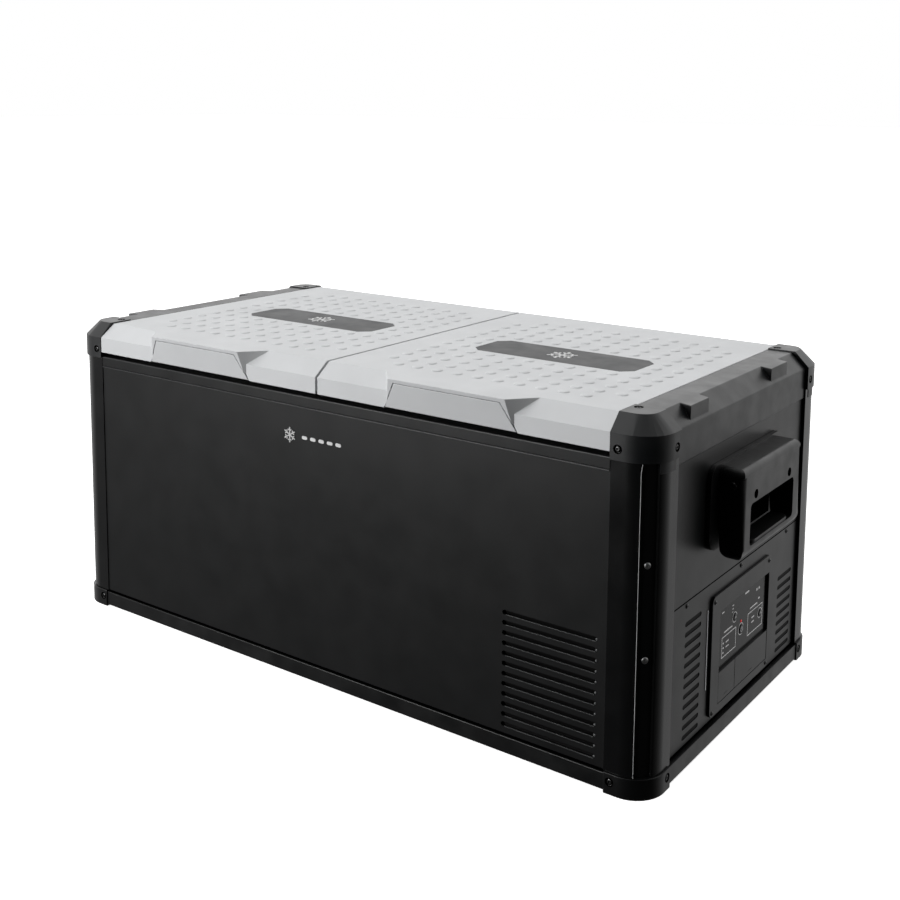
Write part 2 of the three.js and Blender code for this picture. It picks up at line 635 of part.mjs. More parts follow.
function handle() {
  const root = END_FACE + GAP;
  const underside = HANDLE_BOTTOM + HANDLE_ROLL - 3;
  const flange = prismX(roundedRect([-108, 108], [underside, HANDLE_TOP + 2], 18),
    [root, root + 5.5], 5);
  const profile = new THREE.Shape();
  profile.moveTo(root, underside);
  profile.absarc(HANDLE_OUT - HANDLE_ROLL, HANDLE_BOTTOM + HANDLE_ROLL, HANDLE_ROLL,
    Math.PI + 0.216, 2 * Math.PI, false);
  profile.lineTo(HANDLE_OUT, HANDLE_TOP - 9);
  profile.absarc(HANDLE_OUT - 8, HANDLE_TOP - 9, 8, 0, Math.PI / 2, false);
  profile.lineTo(root, HANDLE_TOP);
  const hood = prismY(profile, [-HANDLE_HALF, HANDLE_HALF], 8)
    .intersect(prismX(roundedRect([-HANDLE_HALF, HANDLE_HALF], [HANDLE_BOTTOM, HANDLE_TOP], 12),
      [root - 1, HANDLE_OUT + 1], 5));
  const hollow = block([root + 5.5, HANDLE_OUT - 8], [-FINGER_HALF, FINGER_HALF],
    [FINGER_BOTTOM, HANDLE_TOP - 8]);
  const mouth = prismX(roundedRect([-FINGER_HALF, FINGER_HALF], [FINGER_BOTTOM, FINGER_TOP], 6),
    [HANDLE_OUT - 20, HANDLE_OUT + 1], 4);
  const screwWells = [-52, 52].map((y) => cylinder(
    4, [HANDLE_OUT - 3, HANDLE_OUT + 1], 'x', [y, FINGER_TOP + 9], 14));
  // Rounded lip along the floor of the finger opening.
  const lip = prismZ(roundedRect([HANDLE_OUT - 23, HANDLE_OUT - 1], [-58, 58], 10.9),
    [FINGER_BOTTOM - 1, FINGER_BOTTOM + 4], 5);
  return union(cut(union(flange, hood), hollow, mouth, ...screwWells), lip);
}

function makeHandles() {
  const right = handle();
  place('handle_right', right, BLACK);
  place('handle_left', mirrored(right, -1, 1), BLACK);
}

// ---------------------------------------------------------------- lids

// The front of the visor leans outwards with height.
const LEAN = (VISOR_Y - LID_FRONT) / (LID_TOP - LID_BOTTOM);
const leanY = (z) => -LID_FRONT - (z - LID_BOTTOM) * LEAN;

// A slab parallel to the visor's front face, from depth `near` to depth `far` behind it.
function frontSlab(z0, z1, near, far, half) {
  return prismX(shapeOf([
    [leanY(z0) + near, z0], [leanY(z1) + near, z1], [leanY(z1) + far, z1], [leanY(z0) + far, z0],
  ].reverse()), [-half, half]);
}

function flapPlan(grow) {
  return prismY(shapeOf([
    [-FLAP_HALF_LOW - grow, LID_BOTTOM - 5], [FLAP_HALF_LOW + grow, LID_BOTTOM - 5],
    [FLAP_HALF_TOP + grow, FLAP_TOP + grow], [-FLAP_HALF_TOP - grow, FLAP_TOP + grow],
  ]), [-VISOR_Y - 20, -BEVEL_Y]).translate(FLAP_X, 0, 0);
}

// One lid, drawn about x = 0: both lids are the same moulding.
function lidShell() {
  const half = (LID_END - LID_SPLIT) / 2;
  const body = prismX(shapeOf([
    [-LID_FRONT, LID_BOTTOM], [LID_REAR, LID_BOTTOM], [LID_REAR - 2, LID_TOP - 10],
    [LID_REAR - 14, LID_TOP], [-BEVEL_Y, LID_TOP], [-LID_FRONT, BEVEL_Z],
  ]), [-half, half]);
  const visorPlan = prismZ(shapeOf([
    [-VISOR_ROOT_HALF - 10, -BEVEL_Y + 12], [-VISOR_ROOT_HALF, -BEVEL_Y],
    [-VISOR_HALF, -VISOR_Y], [VISOR_HALF, -VISOR_Y],
    [VISOR_ROOT_HALF, -BEVEL_Y], [VISOR_ROOT_HALF + 10, -BEVEL_Y + 12],
  ]), [LID_BOTTOM, LID_TOP]).translate(FLAP_X, 0, 0);
  const visor = visorPlan.intersect(frontSlab(LID_BOTTOM, LID_TOP, 0, 60, 200));
  const hollow = block([-half + LID_WALL, half - LID_WALL], [-LID_FRONT + 9.5, LID_REAR - 5],
    [LID_BOTTOM - 1, LID_TOP - 4 - LID_WALL]);
  const bevelRoom = prismX(shapeOf([
    [-LID_FRONT + 8, BEVEL_Z - 4], [-LID_FRONT + 8, LID_TOP + 5], [-BEVEL_Y - 10, LID_TOP + 5],
    [-BEVEL_Y + 4, LID_TOP - 8],
  ].reverse()), [-half, half]);
  const pocket = frontSlab(LID_BOTTOM - 5, LID_TOP, -10, FLAP_POCKET, 200)
    .intersect(flapPlan(FLAP_SEAM));
  const platePocket = prismZ(platePlan(GAP), [LID_TOP - 1.6, LID_TOP + 1]);
  const knuckle = union(
    block([-LID_KNUCKLE_HALF, LID_KNUCKLE_HALF], [LID_REAR - 3, HINGE_Y],
      [HINGE_Z, HINGE_Z + KNUCKLE_R]),
    cylinder(KNUCKLE_R, [-LID_KNUCKLE_HALF, LID_KNUCKLE_HALF], 'x', [HINGE_Y, HINGE_Z], 20));
  const bore = cylinder(PIN_R + PIN_CLEAR, [-60, 60], 'x', [HINGE_Y, HINGE_Z], 20);
  return cut(union(body, visor, knuckle), cut(hollow, bevelRoom), pocket, platePocket, bore);
}

function platePlan(grow) {
  const [hx, hy, c] = [PLATE_HALF_X + grow, PLATE_HALF_Y + grow, PLATE_CHAMFER];
  const octagon = [
    [-hx + c, -hy], [hx - c, -hy], [hx, -hy + c], [hx, hy - c],
    [hx - c, hy], [-hx + c, hy], [-hx, hy - c], [-hx, -hy + c],
  ];
  return shapeOf(octagon.map(([x, y]) => [PLATE_X + x, PLATE_Y + y]));
}

function latchFlap() {
  return frontSlab(LID_BOTTOM + 1, FLAP_TOP, 0, FLAP_THICK, 200).intersect(flapPlan(0));
}

// Foam-filled plug that closes the lid from below and drops into the tub's mouth.
function lidLiner() {
  const half = (LID_END - LID_SPLIT) / 2;
  const centre = (LID_END + LID_SPLIT) / 2;
  const margin = 5;
  const plug = prismZ(roundedRect(
    [ZONE_IN + margin - centre, ZONE_OUT - margin - centre],
    [-ZONE_Y + margin, ZONE_Y - margin], 16), [LID_BOTTOM - 18, LID_BOTTOM + 1], 5);
  const cover = block([-half + LID_WALL + GAP, half - LID_WALL - GAP],
    [-LID_FRONT + 9.5 + GAP, LID_REAR - 5 - GAP], [LID_BOTTOM, LID_BOTTOM + 12]);
  return union(plug, cover);
}

// Flexible seal that rests on the rim round the tub's mouth.
function lidGasket() {
  const centre = (LID_END + LID_SPLIT) / 2;
  const ring = (out) => roundedRect(
    [ZONE_IN - out - centre, ZONE_OUT + out - centre], [-ZONE_Y - out, ZONE_Y + out], 18 + out);
  const z = [RIM_TOP + GAP, LID_BOTTOM - GAP];
  return cut(prismZ(ring(15), z, 6), prismZ(ring(4), [z[0] - 1, z[1] + 1], 6));
}

function lidHinge() {
  const [mid, out] = [LID_KNUCKLE_HALF + 0.5, HINGE_HALF];
  const wall = HALF_Y + GAP;
  const plate = block([-out, out], [wall, wall + 2.5], [PANEL_TOP - 10, RIM_TOP]);
  const ears = [[-out, -mid], [mid, out]].map((span) => union(
    block(span, [wall, HINGE_Y], [PANEL_TOP - 10, HINGE_Z]),
    cylinder(KNUCKLE_R, span, 'x', [HINGE_Y, HINGE_Z], 20)));
  const pin = cylinder(PIN_R, [-out + 1, out - 1], 'x', [HINGE_Y, HINGE_Z], 20);
  return union(plate, ...ears, pin);
}

function makeLids() {
  const centre = (LID_END + LID_SPLIT) / 2;
  const plate = prismZ(platePlan(0), [LID_TOP - 1.6 + GAP, LID_TOP - 0.2]);
  for (const [name, side] of [['left', -1], ['right', 1]]) {
    const put = (piece) => moved(piece, side * centre, 0, 0);
    place(`lid_shell_${name}`, put(lidShell()), LID_GREY);
    place(`lid_liner_${name}`, put(side > 0 ? lidLiner() : mirrored(lidLiner(), -1, 1)), LINER_GREY);
    place(`lid_gasket_${name}`, put(side > 0 ? lidGasket() : mirrored(lidGasket(), -1, 1)), RUBBER);
    place(`lid_plate_${name}`, put(plate), PLATE_GREY);
    place(`latch_flap_${name}`, put(latchFlap()), LID_GREY);
    place(`lid_hinge_${name}`, put(lidHinge()), STEEL);
  }
}

makeFrame();
makePanels();
makeEndCaps();
makeInsulatedBox();
makeBaskets();
makeCoolingUnit();
makeControlModule();
makeHandles();
makeLids();

export default model;
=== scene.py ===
"""Looks of a twin-zone compressor cooler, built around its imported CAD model.

Lengths are metres in the frame's axes: +X towards the control end, -Y the front, +Z up.
"""

import json
import math

import bmesh
import bpy
from mathutils import Matrix, Vector

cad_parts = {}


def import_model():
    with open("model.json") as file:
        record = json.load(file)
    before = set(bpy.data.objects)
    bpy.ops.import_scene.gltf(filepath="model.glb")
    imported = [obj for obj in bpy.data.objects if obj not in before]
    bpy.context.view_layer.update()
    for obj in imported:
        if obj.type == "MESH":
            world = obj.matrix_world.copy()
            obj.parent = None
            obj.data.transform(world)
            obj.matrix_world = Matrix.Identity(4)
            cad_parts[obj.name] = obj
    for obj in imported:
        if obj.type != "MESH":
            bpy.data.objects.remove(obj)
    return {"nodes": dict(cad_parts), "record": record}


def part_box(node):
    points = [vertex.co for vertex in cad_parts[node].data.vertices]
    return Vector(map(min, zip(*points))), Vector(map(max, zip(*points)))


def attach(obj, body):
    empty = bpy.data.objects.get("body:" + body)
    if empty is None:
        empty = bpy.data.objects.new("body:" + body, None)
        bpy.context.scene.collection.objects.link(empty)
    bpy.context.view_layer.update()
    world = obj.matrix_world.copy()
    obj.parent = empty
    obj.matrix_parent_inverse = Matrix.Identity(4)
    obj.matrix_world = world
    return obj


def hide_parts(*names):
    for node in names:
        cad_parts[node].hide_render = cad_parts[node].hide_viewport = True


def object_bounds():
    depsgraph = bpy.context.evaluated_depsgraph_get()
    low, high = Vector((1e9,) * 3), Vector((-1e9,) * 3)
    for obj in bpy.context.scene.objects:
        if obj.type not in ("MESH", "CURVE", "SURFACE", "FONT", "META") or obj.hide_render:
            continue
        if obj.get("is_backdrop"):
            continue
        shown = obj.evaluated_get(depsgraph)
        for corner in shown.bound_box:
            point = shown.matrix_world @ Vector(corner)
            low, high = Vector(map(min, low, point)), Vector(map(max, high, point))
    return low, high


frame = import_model()
cad_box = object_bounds()
NODES = frame["nodes"]
BODY_OF = {node: body for body, nodes in frame["record"]["behaviour"]["bodies"].items() for node in nodes}

MM = 0.001
SIDES = ("left", "right")
CORNERS = [(f"{end}_{side}", sx, sy)
           for end, sy in (("front", -1), ("rear", 1))
           for side, sx in (("left", -1), ("right", 1))]
KEYS = ("power_button", "left_zone_button", "right_zone_button")

X_AXIS, Y_AXIS, Z_AXIS = (1, 0, 0), (0, 1, 0), (0, 0, 1)

CORNER_R = 36 * MM                      # outer radius of a corner post
CHANNEL_DEPTH = 3 * MM                  # channel down the rounded corner
CHANNEL_ANGLE = math.radians(43.8)      # its middle, measured from the front face
CHANNEL_HALF = math.radians(16.3)       # half the angle that it spans

HOOD_HALF = 87 * MM                     # half the width of a handle's hood
GRIP_BACK = 6.4 * MM                    # from an end panel out to the back wall of a handle's hollow

FIRST_SLOT = 36 * MM                    # height of the lowest ventilation slot
SLOT_PITCH = 12.2 * MM
SLOT_HEIGHT = 5.6 * MM
FRONT_SLOTS = (279 * MM, 402 * MM)      # from end to end, along x
FRONT_SLOT_COUNT = 12
SIDE_SLOTS = (((-152 * MM, -109 * MM), 12), ((127 * MM, 174 * MM), 9))  # columns: ends in y, count

SCREW_R = 3.4 * MM
SMALL_SCREW_R = SCREW_R * 0.85          # in the panels
WELL_DEPTH = 1.6 * MM                   # of the wells for the cap and foot screws
SHADE_RING = (4.2 * MM, 5.2 * MM, 0.12 * MM)   # the black ring round them, which paints the shade in the wells: inner and outer radius, rise

SHARP_ANGLE = math.radians(38)          # faces that meet at more than this keep a crisp edge


# ---------------------------------------------------------------- materials

def linear(grey, blue=0.0):
    """An sRGB grey from 0 to 255 as a linear colour, with a little blue added."""
    def channel(value):
        value = min(max(value / 255, 0), 1)
        return value / 12.92 if value <= 0.04045 else ((value + 0.055) / 1.055) ** 2.4
    return (channel(grey - blue), channel(grey), channel(grey + blue), 1.0)


def tinted(red, green, blue):
    """An sRGB colour, each channel from 0 to 255, as a linear colour."""
    return (linear(red)[0], linear(green)[0], linear(blue)[0], 1.0)


class Finish:
    """A node material: colour that drifts a little, uneven gloss, and a fine surface grain."""

    def __init__(self, name, colour, roughness, specular=0.5, metallic=0.0):
        self.material = bpy.data.materials.new(name)
        self.material.use_nodes = True
        tree = self.material.node_tree
        self.nodes, self.links = tree.nodes, tree.links
        self.shader = self.nodes["Principled BSDF"]
        self.shader.inputs["Metallic"].default_value = metallic
        self.shader.inputs["Specular IOR Level"].default_value = specular
        self.colour, self.roughness = colour, roughness
        self.place = self.nodes.new("ShaderNodeTexCoord").outputs["Object"]
        self.height = None

    def noise(self, scale, detail=2.0, stretch=None):
        """A noise field fixed to the object, stretched per axis where asked."""
        node = self.nodes.new("ShaderNodeTexNoise")
        node.inputs["Scale"].default_value = scale
        node.inputs["Detail"].default_value = detail
        source = self.place
        if stretch:
            mapping = self.nodes.new("ShaderNodeMapping")
            mapping.inputs["Scale"].default_value = stretch
            self.links.new(source, mapping.inputs["Vector"])
            source = mapping.outputs["Vector"]
        self.links.new(source, node.inputs["Vector"])
        return node.outputs["Fac"]

    def ramp(self, source, low, high, start=0.3, end=0.7):
        """Maps a field's middle range onto low to high."""
        node = self.nodes.new("ShaderNodeMapRange")
        node.inputs["From Min"].default_value = start
        node.inputs["From Max"].default_value = end
        node.inputs["To Min"].default_value = low
        node.inputs["To Max"].default_value = high
        self.links.new(source, node.inputs["Value"])
        return node.outputs["Result"]

    def mottle(self, scale, amount, detail=3.0, stretch=None):
        """Colour drifts by the given share either way."""
        mix = self.nodes.new("ShaderNodeMix")
        mix.data_type = "RGBA"
        mix.inputs["A"].default_value = [c * (1 - amount) for c in self.colour[:3]] + [1]
        mix.inputs["B"].default_value = [min(c * (1 + amount), 1) for c in self.colour[:3]] + [1]
        self.links.new(self.ramp(self.noise(scale, detail, stretch), 0, 1), mix.inputs["Factor"])
        self.links.new(mix.outputs["Result"], self.shader.inputs["Base Color"])
        return self

    def uneven(self, scale, amount, detail=3.0, stretch=None):
        """Roughness drifts by the given amount either way."""
        source = self.noise(scale, detail, stretch)
        low, high = self.roughness - amount, self.roughness + amount
        self.links.new(self.ramp(source, max(low, 0.02), min(high, 1)), self.shader.inputs["Roughness"])
        return self

    def grain(self, scale, depth, detail=2.0, stretch=None, cells=False):
        """Surface relief of the given depth; cells gives the pebbles of a moulded texture."""
        if cells:
            node = self.nodes.new("ShaderNodeTexVoronoi")
            node.feature = "SMOOTH_F1"
            node.inputs["Scale"].default_value = scale
            self.links.new(self.place, node.inputs["Vector"])
            source = node.outputs["Distance"]
        else:
            source = self.noise(scale, detail, stretch)
        bump = self.nodes.new("ShaderNodeBump")
        bump.inputs["Strength"].default_value = 1.0
        bump.inputs["Distance"].default_value = depth
        self.links.new(source, bump.inputs["Height"])
        if self.height:
            self.links.new(self.height, bump.inputs["Normal"])
        self.height = bump.outputs["Normal"]
        self.links.new(self.height, self.shader.inputs["Normal"])
        return self

    def coat(self, weight, roughness):
        """A clear layer on top."""
        self.shader.inputs["Coat Weight"].default_value = weight
        self.shader.inputs["Coat Roughness"].default_value = roughness
        return self


def moulded(name, colour, roughness, specular=0.5, grain=0.03 * MM):
    """Injection-moulded plastic with a fine pebbled texture."""
    finish = Finish(name, colour, roughness, specular).mottle(14, 0.035).uneven(32, 0.06)
    return finish.grain(900, grain, cells=True).grain(160, grain * 0.6)


def painted(name, colour, roughness, specular=0.5, peel=0.02 * MM):
    """Painted sheet or extrusion with a trace of orange peel."""
    finish = Finish(name, colour, roughness, specular).mottle(9, 0.04).uneven(24, 0.03)
    return finish.grain(420, peel).grain(60, peel * 0.8)


def bare(name, colour, roughness, mottle, uneven, grain, specular=0.5, metallic=0.0):
    """A plain surface; mottle, uneven and grain are each a scale and an amount."""
    finish = Finish(name, colour, roughness, specular, metallic)
    return finish.mottle(*mottle).uneven(*uneven).grain(*grain)


def brushed(name, colour, roughness, along):
    """Bare metal with fine lines along one axis."""
    stretch = [900.0, 900.0, 900.0]
    stretch["xyz".index(along)] = 12.0
    finish = Finish(name, colour, roughness, metallic=1.0).mottle(1, 0.1, stretch=stretch)
    return finish.uneven(20, 0.08).grain(1, 0.01 * MM, stretch=stretch)


def flecked(name, colour, roughness, scale, depth):
    """Cellular or cast surface with small pits."""
    finish = Finish(name, colour, roughness, 0.3).mottle(scale, 0.12).uneven(scale, 0.05)
    return finish.grain(scale, depth, cells=True)


def glowing(name, colour, strength, roughness=0.25, scale=300):
    """A surface that gives off a little light of its own."""
    finish = Finish(name, colour, roughness, 0.3).mottle(scale, 0.01).uneven(scale, 0.05)
    finish.grain(400, 0.01 * MM)
    finish.shader.inputs["Emission Color"].default_value = colour
    finish.shader.inputs["Emission Strength"].default_value = strength
    return finish


LOOKS = {name: finish.material for name, finish in {
    "lid_grey": moulded("lid_grey", linear(196, 1.5), 0.5, 0.4, 0.035 * MM),
    "plate_grey": moulded("plate_grey", linear(58, 1), 0.5, 0.25),
    "charcoal": moulded("charcoal", linear(19, 1.5), 0.4, 0.4).coat(0.12, 0.22),
    "gloss_black": painted("gloss_black", linear(12, 0.5), 0.22, 0.45),
    "satin_black": painted("satin_black", linear(14, 0.5), 0.34, 0.34),
    "sheet_black": painted("sheet_black", linear(14, 0.5), 0.4, 0.28),
    "handle_black": moulded("handle_black", linear(10, 0.5), 0.36, 0.4),
    "liner_white": moulded("liner_white", linear(214, 1), 0.4, 0.4, 0.015 * MM),
    # painted highlight: a light grey for the beads that stand for the highlight along the edge of each
    # post's channel
    "bright_highlight_grey": painted("bright_highlight_grey", linear(188, 1), 0.3, 0.4),
    # painted highlight: near white, for the strip beside the control bezel
    "white_highlight": painted("white_highlight", linear(236, 1), 0.35, 0.4),
    "louvre_grey": painted("louvre_grey", linear(14), 0.5, 0.2),
    # painted highlight: the bright dot at the end of each front slot
    "dot_highlight_grey": painted("dot_highlight_grey", linear(96, 1), 0.3, 0.4),
    # painted highlight: the light lines along the panel hems, the rim and the lips of the front slots
    "dim_highlight_grey": painted("dim_highlight_grey", linear(58, 1), 0.3, 0.4),
    # painted shade: darker than the panel, it stands for the shade inside the side slots
    "louvre_shade_black": painted("louvre_shade_black", linear(9), 0.6, 0.1),
    # painted shade: near black and matt, it stands for the shade in screw wells, in the hollows of the
    # handles and in the panel joints
    "painted_shade_black": painted("painted_shade_black", linear(2), 0.9, 0.0),
    "filter_black": flecked("filter_black", linear(16), 0.8, 420, 0.4 * MM),
    "rubber": flecked("rubber", linear(26), 0.75, 600, 0.03 * MM),
    "foam": flecked("foam", tinted(226, 208, 158), 0.9, 350, 0.3 * MM),
    "wire_white": bare("wire_white", linear(172), 0.35, (60, 0.04), (90, 0.06), (300, 0.03 * MM)),
    "steel": brushed("steel", linear(176), 0.38, "x"),
    "screw": bare("screw", linear(74), 0.32, (400, 0.2), (500, 0.1), (900, 0.02 * MM), metallic=1.0),
    "aluminium": brushed("aluminium", linear(205), 0.35, "x"),
    "copper": bare("copper", tinted(205, 128, 92), 0.3, (50, 0.15), (60, 0.1), (400, 0.02 * MM),
                   metallic=1.0),
    "compressor_black": painted("compressor_black", linear(14), 0.22, 0.5, 0.04 * MM).coat(0.5, 0.08),
    "board_green": bare("board_green", tinted(28, 88, 52), 0.4, (120, 0.2), (90, 0.1), (500, 0.05 * MM)),
    "display_gloss": bare("display_gloss", linear(10), 0.16, (25, 0.08), (60, 0.04), (250, 0.006 * MM),
                          specular=0.14),
    # painted light: the print gives off a faint glow of its own, though it is no lamp
    "glowing_print_grey": glowing("glowing_print_grey", linear(226), 0.14, 0.55),
    "badge_grey": moulded("badge_grey", linear(206), 0.4),
    "led_red": glowing("led_red", tinted(214, 52, 48), 0.5),
    "floor": glowing("floor", linear(250), 0.84, 0.6, 0.8),
}.items()}


# ---------------------------------------------------------------- mesh helpers

def piece_from(bm, name, look, body, smooth=True):
    """Turns a bmesh into a piece that rides on a body."""
    mesh = bpy.data.meshes.new(name)
    bmesh.ops.recalc_face_normals(bm, faces=bm.faces)
    bm.to_mesh(mesh)
    bm.free()
    piece = bpy.data.objects.new(name, mesh)
    bpy.context.scene.collection.objects.link(piece)
    mesh.materials.append(LOOKS[look])
    for face in mesh.polygons:
        face.use_smooth = smooth
    mesh.set_sharp_from_angle(angle=SHARP_ANGLE)
    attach(piece, body)
    return piece


def settle(piece):
    """Applies a piece's modifiers to its mesh."""
    graph = bpy.context.evaluated_depsgraph_get()
    evaluated = piece.evaluated_get(graph)
    finished = bpy.data.meshes.new_from_object(evaluated, preserve_all_data_layers=True, depsgraph=graph)
    piece.modifiers.clear()
    piece.data = finished


def refined(node, look, edge=0.8 * MM, segments=3, pierced=False, rounded=None):
    """A copy of a CAD node with rounded edges and smooth shading, which stands for the node.

    `pierced` is for a node whose flat faces have openings: their polygons are split into triangles.
    `rounded` is a test that picks edges to round first, and their radius.
    """
    bm = bmesh.new()
    bm.from_mesh(NODES[node].data)
    bmesh.ops.remove_doubles(bm, verts=bm.verts, dist=0.002 * MM)
    bmesh.ops.dissolve_limit(bm, angle_limit=math.radians(0.4), verts=bm.verts, edges=bm.edges)
    if pierced:
        bmesh.ops.triangulate(bm, faces=[face for face in bm.faces if len(face.verts) > 4])
    if rounded:
        chosen, radius = rounded
        edges = [e for e in bm.edges if chosen(e.verts[0].co, e.verts[1].co)]
        bmesh.ops.bevel(bm, geom=edges, offset=radius, segments=6, profile=0.5, affect="EDGES")
    piece = piece_from(bm, f"{node}.shape", look, BODY_OF[node])
    bevel = piece.modifiers.new("edges", "BEVEL")
    bevel.width = edge
    bevel.segments = segments
    bevel.limit_method = "ANGLE"
    bevel.angle_limit = math.radians(32)
    bevel.miter_outer = "MITER_ARC"
    weighted = piece.modifiers.new("normals", "WEIGHTED_NORMAL")
    weighted.keep_sharp = True
    settle(piece)
    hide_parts(node)
    return piece


def ring(bm, centre, axis_u, axis_v, radii):
    """One closed ring of vertices round a centre, with a radius for each step."""
    count = len(radii)
    angles = [2 * math.pi * i / count for i in range(count)]
    return [bm.verts.new(centre + r * (math.cos(a) * axis_u + math.sin(a) * axis_v))
            for r, a in zip(radii, angles)]


def join_rings(bm, lower, upper):
    """A band of faces between two rings of the same count."""
    count = len(lower)
    for i in range(count):
        j = (i + 1) % count
        bm.faces.new((lower[i], lower[j], upper[j], upper[i]))


def skin(bm, rings):
    """A closed skin over a stack of rings, with a face at each end."""
    for lower, upper in zip(rings, rings[1:]):
        join_rings(bm, lower, upper)
    bm.faces.new(rings[0][::-1])
    bm.faces.new(rings[-1])


def across(axis):
    """Two unit vectors at right angles to an axis and to each other."""
    other = Vector((0, 0, 1)) if abs(axis.z) < 0.9 else Vector((1, 0, 0))
    u = axis.cross(other).normalized()
    return u, axis.cross(u).normalized()


def turned(bm, origin, axis, profile, steps=24):
    """A solid of revolution from (radius, height) pairs.

    A pair with a third value has a hexagonal outline.
    """
    axis = Vector(axis).normalized()
    u, v = across(axis)
    rings = []
    for radius, height, *hexagonal in profile:
        radii = [radius] * steps
        if hexagonal:
            sixth = math.pi / 3
            radii = [radius * math.cos(sixth / 2) / math.cos((2 * math.pi * i / steps) % sixth - sixth / 2)
                     for i in range(steps)]
        rings.append(ring(bm, Vector(origin) + axis * height, u, v, radii))
    skin(bm, rings)


def screw(bm, origin, axis, radius=SCREW_R, sunk=0.0):
    """A button-head screw with a hexagonal socket, on a surface or in a well of depth `sunk`."""
    r = radius
    turned(bm, Vector(origin) - Vector(axis).normalized() * sunk, axis, [
        (0.98 * r, -0.1 * r), (r, 0.1 * r), (0.93 * r, 0.24 * r), (0.74 * r, 0.36 * r),
        (0.52 * r, 0.4 * r), (0.46 * r, 0.38 * r, True), (0.44 * r, 0.08 * r, True)])


def washer(bm, origin, axis, inner, outer, rise, steps=28):
    """A flat ring that stands a little proud of a surface."""
    axis = Vector(axis).normalized()
    u, v = across(axis)
    sunk = -0.4 * MM
    rings = [ring(bm, Vector(origin) + axis * height, u, v, [radius] * steps)
             for radius, height in ((inner, sunk), (outer, sunk), (outer, rise), (inner, rise))]
    for lower, upper in zip(rings, rings[1:] + rings[:1]):
        join_rings(bm, lower, upper)


def slab(bm, outline, origin, u, v, depth):
    """A flat prism: outline points along u and v from an origin, raised by `depth` along u x v."""
    u, v = Vector(u), Vector(v)
    rise = u.cross(v).normalized() * depth
    low = [bm.verts.new(Vector(origin) + u * a + v * b) for a, b in outline]
    high = [bm.verts.new(vertex.co + rise) for vertex in low]
    skin(bm, [low, high])


def rounded_outline(a0, a1, b0, b1, r, steps=5):
    """Outline of a rectangle from a0 to a1 and b0 to b1 with corners of radius r."""
    points = []
    corners = ((a1 - r, b1 - r, 0), (a0 + r, b1 - r, 90),
               (a0 + r, b0 + r, 180), (a1 - r, b0 + r, 270))
    for ca, cb, start in corners:
        for i in range(steps + 1):
            t = math.radians(start + 90 * i / steps)
            points.append((ca + r * math.cos(t), cb + r * math.sin(t)))
    return points


def stroke(start, end, width):
    """Outline of a straight stroke with square ends."""
    (a0, b0), (a1, b1) = start, end
    length = math.hypot(a1 - a0, b1 - b0)
    n = (-(b1 - b0) / length * width / 2, (a1 - a0) / length * width / 2)
    return [(a0 - n[0], b0 - n[1]), (a1 - n[0], b1 - n[1]),
            (a1 + n[0], b1 + n[1]), (a0 + n[0], b0 + n[1])]


def snowflake(bm, origin, u, v, size, depth):
    """A plain six-armed snow crystal of the given width."""
    arm, width = size / 2, size * 0.075
    for i in range(6):
        t = math.pi / 2 + i * math.pi / 3
        d = (math.cos(t), math.sin(t))
        start, foot, end = ((d[0] * arm * share, d[1] * arm * share) for share in (0.08, 0.5, 1.0))
        slab(bm, stroke(start, end, width), origin, u, v, depth)
        for turn in (-1, 1):
            w = (math.cos(t + turn * math.pi / 3.4), math.sin(t + turn * math.pi / 3.4))
            tip = (foot[0] + w[0] * arm * 0.36, foot[1] + w[1] * arm * 0.36)
            slab(bm, stroke(foot, tip, width * 0.85), origin, u, v, depth)
    turned(bm, Vector(origin), Vector(u).cross(Vector(v)), [(width * 0.9, 0), (width * 0.9, depth)], 12)


def wires(name, runs, look, body, sides=3):
    """One curve object of many wires; each run is (points, radius, closed)."""
    curve = bpy.data.curves.new(name, "CURVE")
    curve.dimensions = "3D"
    curve.bevel_depth = 1.0
    curve.bevel_resolution = sides
    curve.use_fill_caps = True
    for points, radius, closed in runs:
        spline = curve.splines.new("POLY")
        spline.points.add(len(points) - 1)
        for target, point in zip(spline.points, points):
            target.co = (*point, 1)
            target.radius = radius
        spline.use_cyclic_u = closed
        spline.use_smooth = True
    curve.materials.append(LOOKS[look])
    piece = bpy.data.objects.new(name, curve)
    bpy.context.scene.collection.objects.link(piece)
    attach(piece, body)
    return piece


# ---------------------------------------------------------------- cabinet

def hood_edge(a, b):
    """An outer upright edge of the front face of a handle's hood."""
    on_face = min(abs(a.x), abs(b.x)) > cad_box[1].x - 0.1 * MM
    return on_face and min(abs(a.y), abs(b.y)) > HOOD_HALF - 0.5 * MM and abs(a.z - b.z) > 0.5 * MM


def hollow_shade_pads():
    """A black pad on the back wall of the hollow in each handle, which paints the deep shade inside the
    hollow.
    """
    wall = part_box("end_panel_upper_right")[1].x + GRIP_BACK
    thick = 0.4 * MM
    bm = bmesh.new()
    outline = rounded_outline(-66.5 * MM, 66.5 * MM, 244.3 * MM, 329.7 * MM, 0.4 * MM)
    slab(bm, outline, (wall, 0, 0), Y_AXIS, Z_AXIS, thick)
    slab(bm, outline, (-wall - thick, 0, 0), Y_AXIS, Z_AXIS, thick)
    piece_from(bm, "hollow_shade_pads", "painted_shade_black", "cabinet")


